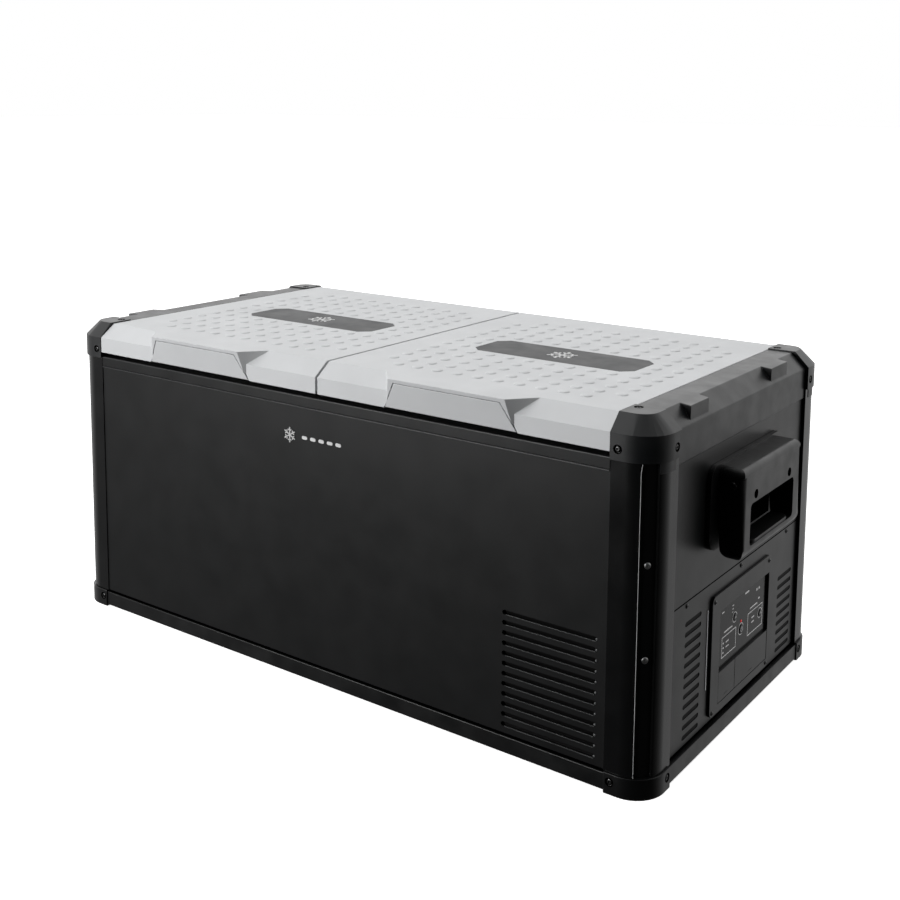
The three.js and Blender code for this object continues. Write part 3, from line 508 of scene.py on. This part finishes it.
def cabinet():
    """The shell, its corners, rails, handles, rim, tubs and lid hinges."""
    for name, _, _ in CORNERS:
        refined(f"corner_post_{name}", "gloss_black", 0.3 * MM, 2)
        refined(f"foot_bracket_{name}", "handle_black", 1.0 * MM)
        refined(f"corner_cap_{name}", "charcoal", 1.2 * MM, pierced=True)
    for side in ("front", "rear", "left", "right"):
        refined(f"bottom_rail_{side}", "handle_black", 0.6 * MM)
    for node in ("front_panel", "rear_panel"):
        refined(node, "sheet_black", 0.35 * MM, 2)
    for node in ("end_panel_upper_right", "end_panel_lower_right", "end_panel_left"):
        refined(node, "satin_black", 0.4 * MM, 2)
    for side in SIDES:
        refined(f"end_cap_{side}", "charcoal", 1.0 * MM)
        refined(f"handle_{side}", "handle_black", 1.0 * MM, rounded=(hood_edge, 6 * MM))
        refined(f"tub_{side}", "liner_white", 0.5 * MM)
        refined(f"lid_hinge_{side}", "steel", 0.4 * MM)
    refined("top_rim", "satin_black", 0.6 * MM)
    refined("base_pan", "steel", 0.4 * MM)


def panel_hems():
    """Rolled beads along the top of the front and rear panels and along the rim above them, in a lighter
    grey that paints the highlight on those edges.
    """
    low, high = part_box("front_panel")
    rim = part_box("top_rim")[1]
    inset = 1 * MM
    outline = rounded_outline(-0.9 * MM, 0.9 * MM, -0.6 * MM, 0.6 * MM, 0.5 * MM)
    for name, sign in (("front", -1), ("rear", 1)):
        bm = bmesh.new()
        for z in (high.z - 0.8 * MM, rim.z - 1.2 * MM):
            origin = Vector((low.x + inset, sign * (rim.y - 0.2 * MM), z))
            slab(bm, outline, origin, Y_AXIS, Z_AXIS, high.x - low.x - 2 * inset)
        piece_from(bm, f"panel_hem_{name}", "dim_highlight_grey", "cabinet")


def corner_screws(screws, shade_rings):
    """Screws in the shallow wells of the corner caps and foot brackets."""
    cap_low, cap_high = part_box("corner_cap_front_right")
    out_x, out_y = cap_high.x, -cap_low.y
    screw_x, screw_y = 422.5 * MM, 199.6 * MM
    cap_z, foot_z = 386.3 * MM, 14.5 * MM
    for _, sx, sy in CORNERS:
        wells = [((sx * screw_x, sy * screw_y, cap_high.z), Z_AXIS)]
        for z in (cap_z, foot_z):
            wells.append(((sx * screw_x, sy * out_y, z), (0, sy, 0)))
            wells.append(((sx * out_x, sy * screw_y, z), (sx, 0, 0)))
        for place, axis in wells:
            screw(screws, place, axis, sunk=WELL_DEPTH)
            washer(shade_rings, place, axis, *SHADE_RING)


def post_axis():
    """How far the corner posts' axes stand from the object's middle, along x and along y."""
    low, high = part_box("corner_post_front_right")
    return high.x - CORNER_R, -low.y - CORNER_R


def channel_screws():
    """Bright screws on the floor of each post's channel."""
    heights = (157 * MM, 262 * MM)
    axis_x, axis_y = post_axis()
    bm = bmesh.new()
    for _, sx, sy in CORNERS:
        outward = Vector((sx * math.sin(CHANNEL_ANGLE), sy * math.cos(CHANNEL_ANGLE), 0))
        for z in heights:
            place = Vector((sx * axis_x, sy * axis_y, z)) + outward * (CORNER_R - CHANNEL_DEPTH)
            screw(bm, place, outward, SCREW_R * 1.1)
    return bm


def panel_screws(screws):
    """Screws in the end panels, the rear panel and the control bezel."""
    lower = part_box("end_panel_lower_right")[1]
    joint_z = lower.z - 5 * MM
    for y in (-149 * MM, 3 * MM, 152 * MM):
        screw(screws, (lower.x, y, joint_z), X_AXIS, SMALL_SCREW_R)
    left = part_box("end_panel_left")[0]
    for y in (-170 * MM, 0, 170 * MM):
        for z in (left.z + 12 * MM, joint_z):
            screw(screws, (left.x, y, z), (-1, 0, 0), SMALL_SCREW_R)
    low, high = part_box("rear_panel")
    margin_x, margin_z, columns = 12 * MM, 10 * MM, 5
    for i in range(columns):
        x = low.x + margin_x + i / (columns - 1) * (high.x - low.x - 2 * margin_x)
        for z in (low.z + margin_z, high.z - margin_z):
            screw(screws, (x, high.y, z), Y_AXIS, SMALL_SCREW_R)
    low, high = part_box("control_bezel")
    margin = 7 * MM
    for y in (low.y + margin, high.y - margin):
        for z in (low.z + 5 * MM, high.z - margin):
            screw(screws, (high.x, y, z), X_AXIS, SCREW_R * 0.8)


def handle_screws(screws, shade_rings):
    """Two screws in deep wells on each handle's face, and a bolt on each side of its hood."""
    well_y, well_z, well_depth = 52 * MM, 303 * MM, 2.6 * MM
    bolt_x, bolt_z = 486.5 * MM, 318 * MM
    for side, sx in (("left", -1), ("right", 1)):
        low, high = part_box(f"handle_{side}")
        face = high.x if sx > 0 else low.x
        for sy in (-1, 1):
            place = Vector((face, sy * well_y, well_z))
            screw(screws, place, (sx, 0, 0), SCREW_R * 0.8, sunk=well_depth)
            washer(shade_rings, place, (sx, 0, 0), 3.0 * MM, 5.4 * MM, 0.15 * MM)
            bolt = Vector((sx * bolt_x, sy * HOOD_HALF, bolt_z))
            screw(screws, bolt, (0, sy, 0), SCREW_R * 1.3)


def hinge_screws(screws):
    """Three screws through each lid hinge's lower leaf."""
    wall_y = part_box("rear_panel")[1].y
    for side in SIDES:
        low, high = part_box(f"lid_hinge_{side}")
        for share in (0.12, 0.5, 0.88):
            x = low.x + share * (high.x - low.x)
            screw(screws, (x, wall_y + 4 * MM, low.z + 8 * MM), Y_AXIS, SCREW_R * 0.8)


def cabinet_screws():
    """All the cabinet's screws, and the black rings round those that stand in wells, which paint the shade
    in the wells.
    """
    screws, shade_rings = bmesh.new(), bmesh.new()
    corner_screws(screws, shade_rings)
    bright = channel_screws()
    panel_screws(screws)
    handle_screws(screws, shade_rings)
    hinge_screws(screws)
    piece_from(screws, "cabinet_screws", "screw", "cabinet")
    piece_from(bright, "channel_screws", "steel", "cabinet")
    piece_from(shade_rings, "screw_shade_rings", "painted_shade_black", "cabinet")


def post_point(axis, sx, sy, angle, radius, z):
    """A point at an angle and radius round the axis of one corner post."""
    x = axis[0] + radius * math.sin(angle)
    y = axis[1] + radius * math.cos(angle)
    return Vector((sx * x, sy * y, z))


def post_edge_highlights():
    """A light bead down the front edge of each post's channel, which leans in at the top; its light grey
    paints the highlight along that edge.
    """
    cap_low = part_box("corner_cap_front_right")[0].z
    foot_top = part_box("foot_bracket_front_right")[1].z
    bead_at = CHANNEL_ANGLE - CHANNEL_HALF
    half = 0.36 * MM
    levels = [(foot_top + 0.5 * MM, 0.0), (cap_low - 11 * MM, 0.0), (cap_low - 1 * MM, 0.04)]
    axis = post_axis()
    bm = bmesh.new()
    for _, sx, sy in CORNERS:
        u = Vector((sx * math.sin(bead_at), sy * math.cos(bead_at), 0))
        v = Vector((-u.y, u.x, 0))
        middles = [post_point(axis, sx, sy, bead_at + turn, CORNER_R - 0.1 * MM, z)
                   for z, turn in levels]
        skin(bm, [ring(bm, middle, u, v, [half] * 8) for middle in middles])
    piece_from(bm, "post_edge_highlights", "bright_highlight_grey", "cabinet")


def post_collars():
    """A collar under each cap, from the far edge of the post's channel round to its side."""
    cap_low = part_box("corner_cap_front_right")[0].z
    drop, rise, buried, soft = 12.5 * MM, 0.6 * MM, 0.4 * MM, 0.1 * MM
    section = [(CORNER_R - buried, cap_low), (CORNER_R + rise, cap_low),
               (CORNER_R + rise, cap_low - drop + 0.5 * MM), (CORNER_R + soft, cap_low - drop),
               (CORNER_R - buried, cap_low - drop)]
    start, steps, straight = CHANNEL_ANGLE + CHANNEL_HALF, 8, 9 * MM
    path = [(start + (math.pi / 2 - start) * i / steps, 0.0) for i in range(steps + 1)]
    path.append((math.pi / 2, straight))
    axis = post_axis()
    bm = bmesh.new()
    for _, sx, sy in CORNERS:
        rings = []
        for angle, along in path:
            points = [post_point(axis, sx, sy, angle, radius, z) for radius, z in section]
            rings.append([bm.verts.new(point - Vector((0, sy * along, 0))) for point in points])
        skin(bm, rings)
    piece_from(bm, "post_collars", "charcoal", "cabinet")


def front_louvres():
    """Pressed tabs that slope inwards behind the front slots, with a light lip along each lower edge that
    paints the highlight there, and a light dome at one end that paints the bright highlight of the slot's
    rounded end.
    """
    face_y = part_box("front_panel")[0].y
    half = SLOT_HEIGHT / 2
    x0, x1 = FRONT_SLOTS
    tab = [(0.5 * MM, half + 0.4 * MM), (1.1 * MM, half + 0.6 * MM), (3.6 * MM, -half + 1.7 * MM),
           (4.6 * MM, -half + 0.2 * MM), (4.2 * MM, -half), (3.0 * MM, -half + 1.4 * MM)]
    lip = rounded_outline(-0.3 * MM, 0.9 * MM, -half - 0.1 * MM, -half + 0.5 * MM, 0.25 * MM)
    head = [(1.4 * MM, 0), (1.3 * MM, 0.4 * MM), (1.0 * MM, 0.7 * MM), (0.5 * MM, 0.9 * MM)]
    tabs, lips, highlight_dots = bmesh.new(), bmesh.new(), bmesh.new()
    for i in range(FRONT_SLOT_COUNT):
        z = FIRST_SLOT + i * SLOT_PITCH
        slab(tabs, tab, (x0 + 4 * MM, face_y, z), Y_AXIS, Z_AXIS, x1 - x0 - 5 * MM)
        slab(lips, lip, (x0 + 5 * MM, face_y, z), Y_AXIS, Z_AXIS, x1 - x0 - 7 * MM)
        turned(highlight_dots, (x1 - 0.6 * MM, face_y + 0.1 * MM, z), (0, -1, 0), head, 14)
    piece_from(tabs, "front_louvres", "louvre_grey", "cabinet")
    piece_from(lips, "louvre_lips", "dim_highlight_grey", "cabinet")
    piece_from(highlight_dots, "louvre_highlight_dots", "dot_highlight_grey", "cabinet")


def side_louvres():
    """Tabs just inside the slots of the lower end panel, darker than the panel: their colour paints the
    shade inside the slots.
    """
    face_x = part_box("end_panel_lower_right")[1].x
    edge = SLOT_HEIGHT / 2 - 0.1 * MM
    tab = [(edge, -0.3 * MM), (edge, -0.9 * MM), (-edge, -1.2 * MM), (-edge, -0.6 * MM)]
    inset = 1.5 * MM
    bm = bmesh.new()
    for (y0, y1), count in SIDE_SLOTS:
        for i in range(count):
            place = (face_x, y0 + inset, FIRST_SLOT + i * SLOT_PITCH)
            slab(bm, tab, place, Z_AXIS, X_AXIS, y1 - y0 - 2 * inset)
    piece_from(bm, "side_louvres", "louvre_shade_black", "cabinet")


def vent_filter():
    """A pad behind the front slots."""
    face_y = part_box("front_panel")[0].y
    x0, x1 = FRONT_SLOTS
    top = FIRST_SLOT + FRONT_SLOT_COUNT * SLOT_PITCH
    outline = rounded_outline(x0 - 8 * MM, x1 + 8 * MM, 25 * MM, top, 6 * MM)
    bm = bmesh.new()
    slab(bm, outline, (0, face_y + 8 * MM, 0), X_AXIS, Z_AXIS, 1.5 * MM)
    piece_from(bm, "vent_filter", "filter_black", "cabinet")


def joint_shade_strips():
    """Black strips along the joint of the end panels and at the foot of every panel, which paint the shade
    in those joints.
    """
    upper_low, upper_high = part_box("end_panel_upper_right")
    lower_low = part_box("end_panel_lower_right")[0]
    low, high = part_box("front_panel")
    bm = bmesh.new()
    proud, buried, corner = 0.12 * MM, 2 * MM, 0.4 * MM
    y = upper_high.y - 1 * MM
    for z, half in ((upper_low.z - 0.3 * MM, 0.7 * MM), (lower_low.z + 0.9 * MM, 1.5 * MM)):
        outline = rounded_outline(-y, y, z - half, z + half, corner)
        slab(bm, outline, (upper_high.x - buried, 0, 0), Y_AXIS, Z_AXIS, buried + proud)
    outline = rounded_outline(low.x, high.x, low.z - 0.2 * MM, low.z + 2.8 * MM, corner)
    for face_y in (low.y + buried, -low.y + proud):
        slab(bm, outline, (0, face_y, 0), X_AXIS, Z_AXIS, buried + proud)
    piece_from(bm, "panel_joint_shade_strips", "painted_shade_black", "cabinet")


def bezel_highlight_strip():
    """A slim raised bead on the end panel beside the control bezel, near white, which paints the highlight
    there.
    """
    bezel_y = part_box("control_bezel")[0].y
    face_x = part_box("end_panel_lower_right")[1].x
    bm = bmesh.new()
    outline = rounded_outline(-0.9 * MM, 0.9 * MM, 70 * MM, 167 * MM, 0.85 * MM)
    slab(bm, outline, (face_x - 0.05 * MM, bezel_y - 8 * MM, 0), Y_AXIS, Z_AXIS, 0.7 * MM)
    piece_from(bm, "bezel_highlight_strip", "white_highlight", "cabinet")


def front_mark():
    """A small snow crystal and a row of short bars, high on the front."""
    low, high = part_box("front_panel")
    bm = bmesh.new()
    lift, depth = 0.05 * MM, 0.35 * MM
    z = high.z - 40 * MM
    snowflake(bm, (-48 * MM, low.y - lift, z), X_AXIS, Z_AXIS, 20 * MM, depth)
    first_bar, bar_pitch = -27, 14
    outline = rounded_outline(0, 9 * MM, -2.2 * MM, 2.2 * MM, 2.1 * MM)
    for i in range(5):
        x = (first_bar + bar_pitch * i) * MM
        slab(bm, outline, (x, low.y - lift, z), X_AXIS, Z_AXIS, depth)
    piece_from(bm, "front_mark", "badge_grey", "cabinet", smooth=False)


# ---------------------------------------------------------------- insides

def basket(side):
    """A basket of coated wire in the space that its CAD node holds."""
    low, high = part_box(f"basket_{side}")
    thick, thin = 2.0 * MM, 1.3 * MM
    r = 18 * MM
    plan = rounded_outline(low.x + thick, high.x - thick, low.y + thick, high.y - thick, r)

    def loop(z):
        return [(x, y, z) for x, y in plan]

    runs = [(loop(high.z - thick), thick, True), (loop(low.z + 1.4 * thick), thick, True)]
    levels = 5
    for i in range(1, levels):
        z = low.z + (high.z - low.z) * i / levels
        runs.append((loop(z), thin, True))
    inset = thick + 2 * thin
    top, bottom = high.z - thick, low.z + thin
    for count, start, end, cross in (
            (7 if side == "left" else 4, low.x + r + inset, high.x - r - inset, "x"),
            (8, low.y + r + inset, high.y - r - inset, "y")):
        for i in range(count + 1):
            at = start + (end - start) * i / count
            if cross == "x":
                near, far = low.y + inset, high.y - inset
                path = [(at, near, top), (at, near, bottom + thin), (at, near + thin, bottom),
                        (at, far - thin, bottom), (at, far, bottom + thin), (at, far, top)]
            else:
                near, far = low.x + inset, high.x - inset
                base = bottom + 2 * thin
                path = [(near, at, top), (near, at, base + thin), (near + thin, at, base),
                        (far - thin, at, base), (far, at, base + thin), (far, at, top)]
            runs.append((path, thin, False))
    grip_half, grip_drop, bend = 40 * MM, 16 * MM, 2 * MM
    grip_end, grip_z = grip_half - bend, top - grip_drop
    for x in (low.x + inset, high.x - inset):
        for sy in (-1, 1):
            grip = [(x, sy * grip_half, top), (x, sy * grip_half, grip_z + bend),
                    (x, sy * grip_end, grip_z)]
            runs.append((grip, thin, False))
        runs.append(([(x, -grip_end, grip_z), (x, grip_end, grip_z)], thin, False))
    piece = wires(f"basket_{side}.wire", runs, "wire_white", "cabinet")
    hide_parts(f"basket_{side}")


def cooling_unit():
    """The machinery, the board that drives it and the foam, all out of sight when the lids are shut."""
    looks = {"compressor": "compressor_black", "compressor_mount": "rubber", "condenser": "aluminium",
             "fan_shroud": "handle_black", "fan_rotor": "handle_black", "control_board": "board_green",
             "refrigerant_pipe": "copper", "foam_insulation": "foam"}
    for node, look in looks.items():
        refined(node, look, 0.3 * MM, 2, pierced=node == "condenser")


# ---------------------------------------------------------------- control module

def print_marks():
    """Frames, bars and dots printed on the control label."""
    low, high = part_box("display_panel")
    right, up = Vector((0, 1, 0)), Vector((0, 0, 1))
    origin = Vector((high.x + 0.02 * MM, 0, 0))
    depth = 0.12 * MM
    bm = bmesh.new()

    def bar(y, z, wide, tall, r=0.3 * MM):
        slab(bm, rounded_outline(y, y + wide, z, z + tall, min(r, tall / 2.01)), origin, right, up, depth)

    def frame_line(y0, y1, z0, z1, width=1.1 * MM):
        """A rectangle drawn as four bars."""
        bar(y0, z0, y1 - y0, width)
        bar(y0, z1 - width, y1 - y0, width)
        bar(y0, z0 + width, width, z1 - z0 - 2 * width)
        bar(y1 - width, z0 + width, width, z1 - z0 - 2 * width)

    def key_ring(node):
        """A printed circle round a key."""
        a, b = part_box(node)
        middle = Vector((origin.x, (a.y + b.y) / 2, (a.z + b.z) / 2))
        outer, inner = (b.y - a.y) / 2 + 2.2 * MM, (b.y - a.y) / 2 + 1.3 * MM
        rings = [ring(bm, middle + Vector((x, 0, 0)), right, up, [radius] * 32)
                 for radius, x in ((inner, 0), (outer, 0), (outer, depth), (inner, depth), (inner, 0))]
        for lower, upper in zip(rings, rings[1:]):
            join_rings(bm, lower, upper)

    left_zone = (low.y + 13 * MM, low.y + 55 * MM, low.z + 11 * MM, low.z + 37 * MM)
    right_zone = (high.y - 59 * MM, high.y - 12 * MM, low.z + 11 * MM, low.z + 40 * MM)
    for zone in (left_zone, right_zone):
        frame_line(*zone)
        y0, _, _, z1 = zone
        bar(y0 + 6 * MM, z1 + 4 * MM, 24 * MM, 1.7 * MM)
        bar(y0 + 12 * MM, z1 - 10 * MM, 9 * MM, 1.5 * MM)
        bar(y0 + 12 * MM, z1 - 16 * MM, 9 * MM, 1.5 * MM)
    for i in range(3):
        bar(left_zone[0] + 3 * MM, left_zone[2] + (5 + 6 * i) * MM, 3 * MM, 2 * MM)
    bar(left_zone[0] - 2 * MM, high.z - 8 * MM, 7 * MM, 1.4 * MM)
    bar(low.y + 80 * MM, high.z - 7 * MM, 13 * MM, 2.2 * MM)
    for i in range(3):
        bar(low.y + 42 * MM, high.z - (9 + 4 * i) * MM, (4 - i) * MM, 1.3 * MM)
    for y in (high.y - 34 * MM, high.y - 27 * MM):
        bar(y, high.z - 14 * MM, 4 * MM, 3 * MM)
    bar(high.y - 27 * MM, high.z - 27 * MM, 5 * MM, 2 * MM)
    for node in KEYS:
        key_ring(node)
    piece_from(bm, "label_print", "glowing_print_grey", "cabinet", smooth=False)


def indicator():
    """A small red lamp above the power button."""
    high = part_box("display_panel")[1]
    a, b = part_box("power_button")
    bm = bmesh.new()
    turned(bm, (high.x - 0.2 * MM, (a.y + b.y) / 2, b.z + 4.5 * MM), X_AXIS, [
        (1.7 * MM, 0), (1.7 * MM, 0.5 * MM), (1.2 * MM, 0.9 * MM), (0.5 * MM, 1.05 * MM)], 20)
    piece_from(bm, "power_indicator", "led_red", "cabinet")


def key_marks():
    """A raised mark on each key, which moves with it: a broken ring with a bar, or a chevron."""
    depth, arcs, arc_start, arc_span = 0.12 * MM, 14, 120, 300
    for node in KEYS:
        low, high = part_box(node)
        r = (high.y - low.y) / 2
        strokes = []
        if node == "power_button":
            turns = [math.radians(arc_start + arc_span * i / arcs) for i in range(arcs + 1)]
            points = [(0.5 * r * math.cos(t), 0.5 * r * math.sin(t)) for t in turns]
            strokes = [(a, b, 0.13 * r) for a, b in zip(points, points[1:])]
            strokes.append(((0, 0.15 * r), (0, 0.7 * r), 0.13 * r))
        else:
            strokes = [((sign * 0.45 * r, -0.2 * r), (0, 0.3 * r), 0.16 * r) for sign in (-1, 1)]
        bm = bmesh.new()
        origin = Vector((high.x, (low.y + high.y) / 2, (low.z + high.z) / 2))
        for a, b, width in strokes:
            slab(bm, stroke(a, b, width), origin, Y_AXIS, Z_AXIS, depth)
        piece_from(bm, f"{node}.mark", "glowing_print_grey", BODY_OF[node], smooth=False)


def sockets():
    """Contact pins inside the two power inlets."""
    bm = bmesh.new()
    low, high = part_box("ac_inlet")
    y, z = (low.y + high.y) / 2, (low.z + high.z) / 2
    back = low.x + 3 * MM
    blade = rounded_outline(-1 * MM, 1 * MM, -2.4 * MM, 2.4 * MM, 0.9 * MM)
    for dy in (-7 * MM, 0, 7 * MM):
        slab(bm, blade, (back, y + dy, z), Y_AXIS, Z_AXIS, 7 * MM)
    low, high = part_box("dc_inlet")
    y, z = (low.y + high.y) / 2, (low.z + high.z) / 2
    pin = [(2.2 * MM, 0), (2.2 * MM, 5 * MM), (1.4 * MM, 6 * MM)]
    turned(bm, (low.x + 3 * MM, y, z), X_AXIS, pin, 20)
    piece_from(bm, "inlet_contacts", "steel", "cabinet")


def cover_tabs():
    """A small finger lip near the foot of each socket cover."""
    for kind in ("dc", "ac"):
        node = f"socket_cover_{kind}"
        low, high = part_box(node)
        middle, half = (low.y + high.y) / 2, 5 * MM
        bm = bmesh.new()
        outline = rounded_outline(middle - half, middle + half, low.z + 4 * MM, low.z + 5.4 * MM, 0.6 * MM)
        slab(bm, outline, (high.x - 0.05 * MM, 0, 0), Y_AXIS, Z_AXIS, 0.25 * MM)
        piece_from(bm, f"{node}.lip", "satin_black", BODY_OF[node], smooth=False)


def control_module():
    """The bezel with its label, keys, lamp, power inlets and their covers."""
    refined("control_bezel", "satin_black", 0.7 * MM, pierced=True)
    refined("display_panel", "display_gloss", 0.15 * MM, 2)
    for node in KEYS:
        refined(node, "charcoal", 0.5 * MM)
    for kind in ("dc", "ac"):
        refined(f"socket_cover_{kind}", "satin_black", 0.5 * MM)
        refined(f"{kind}_inlet", "handle_black", 0.4 * MM)
    print_marks()
    indicator()
    key_marks()
    sockets()
    cover_tabs()


# ---------------------------------------------------------------- lids

def tread(side):
    """Low round studs in a square lattice over the top of a lid, left out round the inset plate."""
    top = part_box(f"lid_shell_{side}")[1].z
    low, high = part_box(f"lid_plate_{side}")
    centre = (low + high) / 2
    pitch_x, pitch_y = 29.7 * MM, 28.7 * MM
    columns, rows = 12, 13
    radius, height = 7 * MM, 1.35 * MM
    stud = [(radius, -0.3 * MM), (radius, 0.12 * height), (radius * 0.92, height * 0.5),
            (radius * 0.75, height * 0.8), (radius * 0.5, height * 0.95), (radius * 0.2, height)]
    margin = 6 * MM
    bm = bmesh.new()
    for j in range(rows):
        y = centre.y + (j - (rows - 1) / 2) * pitch_y
        for i in range(columns):
            x = centre.x + (i - (columns - 1) / 2) * pitch_x
            at_corner = j in (0, rows - 1) and i in (0, columns - 1)
            on_plate = low.x - margin < x < high.x + margin and low.y - margin < y < high.y + margin
            if not (at_corner or on_plate):
                turned(bm, (x, y, top), Z_AXIS, stud)
    piece_from(bm, f"tread_{side}", "lid_grey", f"lid_{side}")


def badge(side):
    """A raised snow crystal in the middle of a lid's inset plate."""
    low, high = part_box(f"lid_plate_{side}")
    bm = bmesh.new()
    middle = Vector(((low.x + high.x) / 2, (low.y + high.y) / 2, high.z - 0.02 * MM))
    snowflake(bm, middle, X_AXIS, Y_AXIS, 40 * MM, 0.5 * MM)
    piece_from(bm, f"badge_{side}", "badge_grey", f"lid_{side}", smooth=False)


def lids():
    """Each lid with its latch flap, inset plate, liner, gasket, tread and badge."""
    for side in SIDES:
        refined(f"lid_shell_{side}", "lid_grey", 1.1 * MM, pierced=True)
        refined(f"latch_flap_{side}", "lid_grey", 0.9 * MM)
        refined(f"lid_plate_{side}", "plate_grey", 0.25 * MM, 2)
        refined(f"lid_liner_{side}", "liner_white", 1.0 * MM)
        refined(f"lid_gasket_{side}", "rubber", 1.2 * MM)
        tread(side)
        badge(side)


# ---------------------------------------------------------------- stage

def floor():
    """A wide pale floor that doesn't light the object or show in its gloss."""
    bm = bmesh.new()
    reach, steps = 30.0, 12
    bmesh.ops.create_grid(bm, x_segments=steps, y_segments=steps, size=reach)
    mesh = bpy.data.meshes.new("floor")
    bm.to_mesh(mesh)
    bm.free()
    ground = bpy.data.objects.new("floor", mesh)
    bpy.context.scene.collection.objects.link(ground)
    mesh.materials.append(LOOKS["floor"])
    ground.location.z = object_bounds()[0].z
    ground.visible_glossy = False
    ground.visible_diffuse = False
    ground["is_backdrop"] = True


def softbox(name, place, aim, size, power):
    """A rectangular lamp at a place, turned towards a point."""
    light = bpy.data.lights.new(name, "AREA")
    light.shape = "RECTANGLE"
    light.size, light.size_y = size
    light.energy = power
    light.spread = math.pi
    lamp = bpy.data.objects.new(name, light)
    lamp.location = place
    lamp.rotation_euler = (Vector(aim) - Vector(place)).to_track_quat("-Z", "Y").to_euler()
    bpy.context.scene.collection.objects.link(lamp)
    return lamp


def world():
    """A white surround for the eye, and a softer one that lights the object.

    The second falls off towards the front right, and is brighter above than below.
    """
    surround = bpy.data.worlds.new("studio")
    surround.use_nodes = True
    bpy.context.scene.world = surround
    nodes, links = surround.node_tree.nodes, surround.node_tree.links
    nodes.clear()

    def mapped(source, start, end, low, high):
        node = nodes.new("ShaderNodeMapRange")
        for name, value in (("From Min", start), ("From Max", end), ("To Min", low), ("To Max", high)):
            node.inputs[name].default_value = value
        links.new(source, node.inputs["Value"])
        return node

    direction = nodes.new("ShaderNodeTexCoord").outputs["Generated"]
    dark_side = nodes.new("ShaderNodeVectorMath")
    dark_side.operation = "DOT_PRODUCT"
    dark_side.inputs[1].default_value = Vector((0.56, -0.80, -0.1)).normalized()
    links.new(direction, dark_side.inputs[0])
    falloff = mapped(dark_side.outputs["Value"], -0.75, 0.5, 1.15, 0.02)
    falloff.interpolation_type = "SMOOTHSTEP"

    height = nodes.new("ShaderNodeSeparateXYZ")
    links.new(direction, height.inputs["Vector"])
    upward = mapped(height.outputs["Z"], -0.4, 0.4, 0.66, 1.5)

    product = nodes.new("ShaderNodeMath")
    product.operation = "MULTIPLY"
    links.new(falloff.outputs["Result"], product.inputs[0])
    links.new(upward.outputs["Result"], product.inputs[1])

    seen, lit = nodes.new("ShaderNodeBackground"), nodes.new("ShaderNodeBackground")
    seen.inputs["Color"].default_value = (1, 1, 1, 1)
    links.new(product.outputs["Value"], lit.inputs["Strength"])

    path, mix = nodes.new("ShaderNodeLightPath"), nodes.new("ShaderNodeMixShader")
    links.new(path.outputs["Is Camera Ray"], mix.inputs["Fac"])
    links.new(lit.outputs["Background"], mix.inputs[1])
    links.new(seen.outputs["Background"], mix.inputs[2])
    output = nodes.new("ShaderNodeOutputWorld")
    links.new(mix.outputs["Shader"], output.inputs["Surface"])


def lights():
    """A soft overhead lamp, a strong one at the front left and a faint one at the right end."""
    softbox("overhead", (-0.4, 0.3, 2.4), (0, 0, 0.3), (3.0, 2.2), 16)
    softbox("front_left", (-1.0, -2.2, 0.7), (-0.2, -0.2, 0.3), (1.4, 1.2), 52)
    softbox("right", (2.4, 0.6, 0.9), (0.45, 0, 0.25), (1.0, 1.2), 6)


def camera():
    """A camera at the front right, above the lids, set by its yaw, pitch and roll."""
    data = bpy.data.cameras.new("camera")
    data.lens = 49.694
    data.sensor_width = 36.0
    data.shift_y = -0.22
    data.clip_end = 100
    stand = (1.018357, -1.376605, 0.753499)
    yaw, pitch, roll = (math.radians(a) for a in (35.7533, -7.21, 0.4585))
    forward = Vector((-math.sin(yaw) * math.cos(pitch), math.cos(yaw) * math.cos(pitch), math.sin(pitch)))
    level = Vector((math.cos(yaw), math.sin(yaw), 0))
    upright = level.cross(forward)
    right = math.cos(roll) * level + math.sin(roll) * upright
    up = -math.sin(roll) * level + math.cos(roll) * upright
    eye = bpy.data.objects.new("camera", data)
    turn = Matrix((right, up, -forward)).transposed().to_4x4()
    eye.matrix_world = Matrix.Translation(stand) @ turn
    bpy.context.scene.collection.objects.link(eye)
    bpy.context.scene.camera = eye


camera()
cabinet()
panel_hems()
cabinet_screws()
post_edge_highlights()
post_collars()
front_louvres()
side_louvres()
vent_filter()
joint_shade_strips()
hollow_shade_pads()
bezel_highlight_strip()
front_mark()
cooling_unit()
control_module()
for which in SIDES:
    basket(which)
lids()
floor()
world()
lights()
bpy.context.scene.view_settings.view_transform = "Standard"
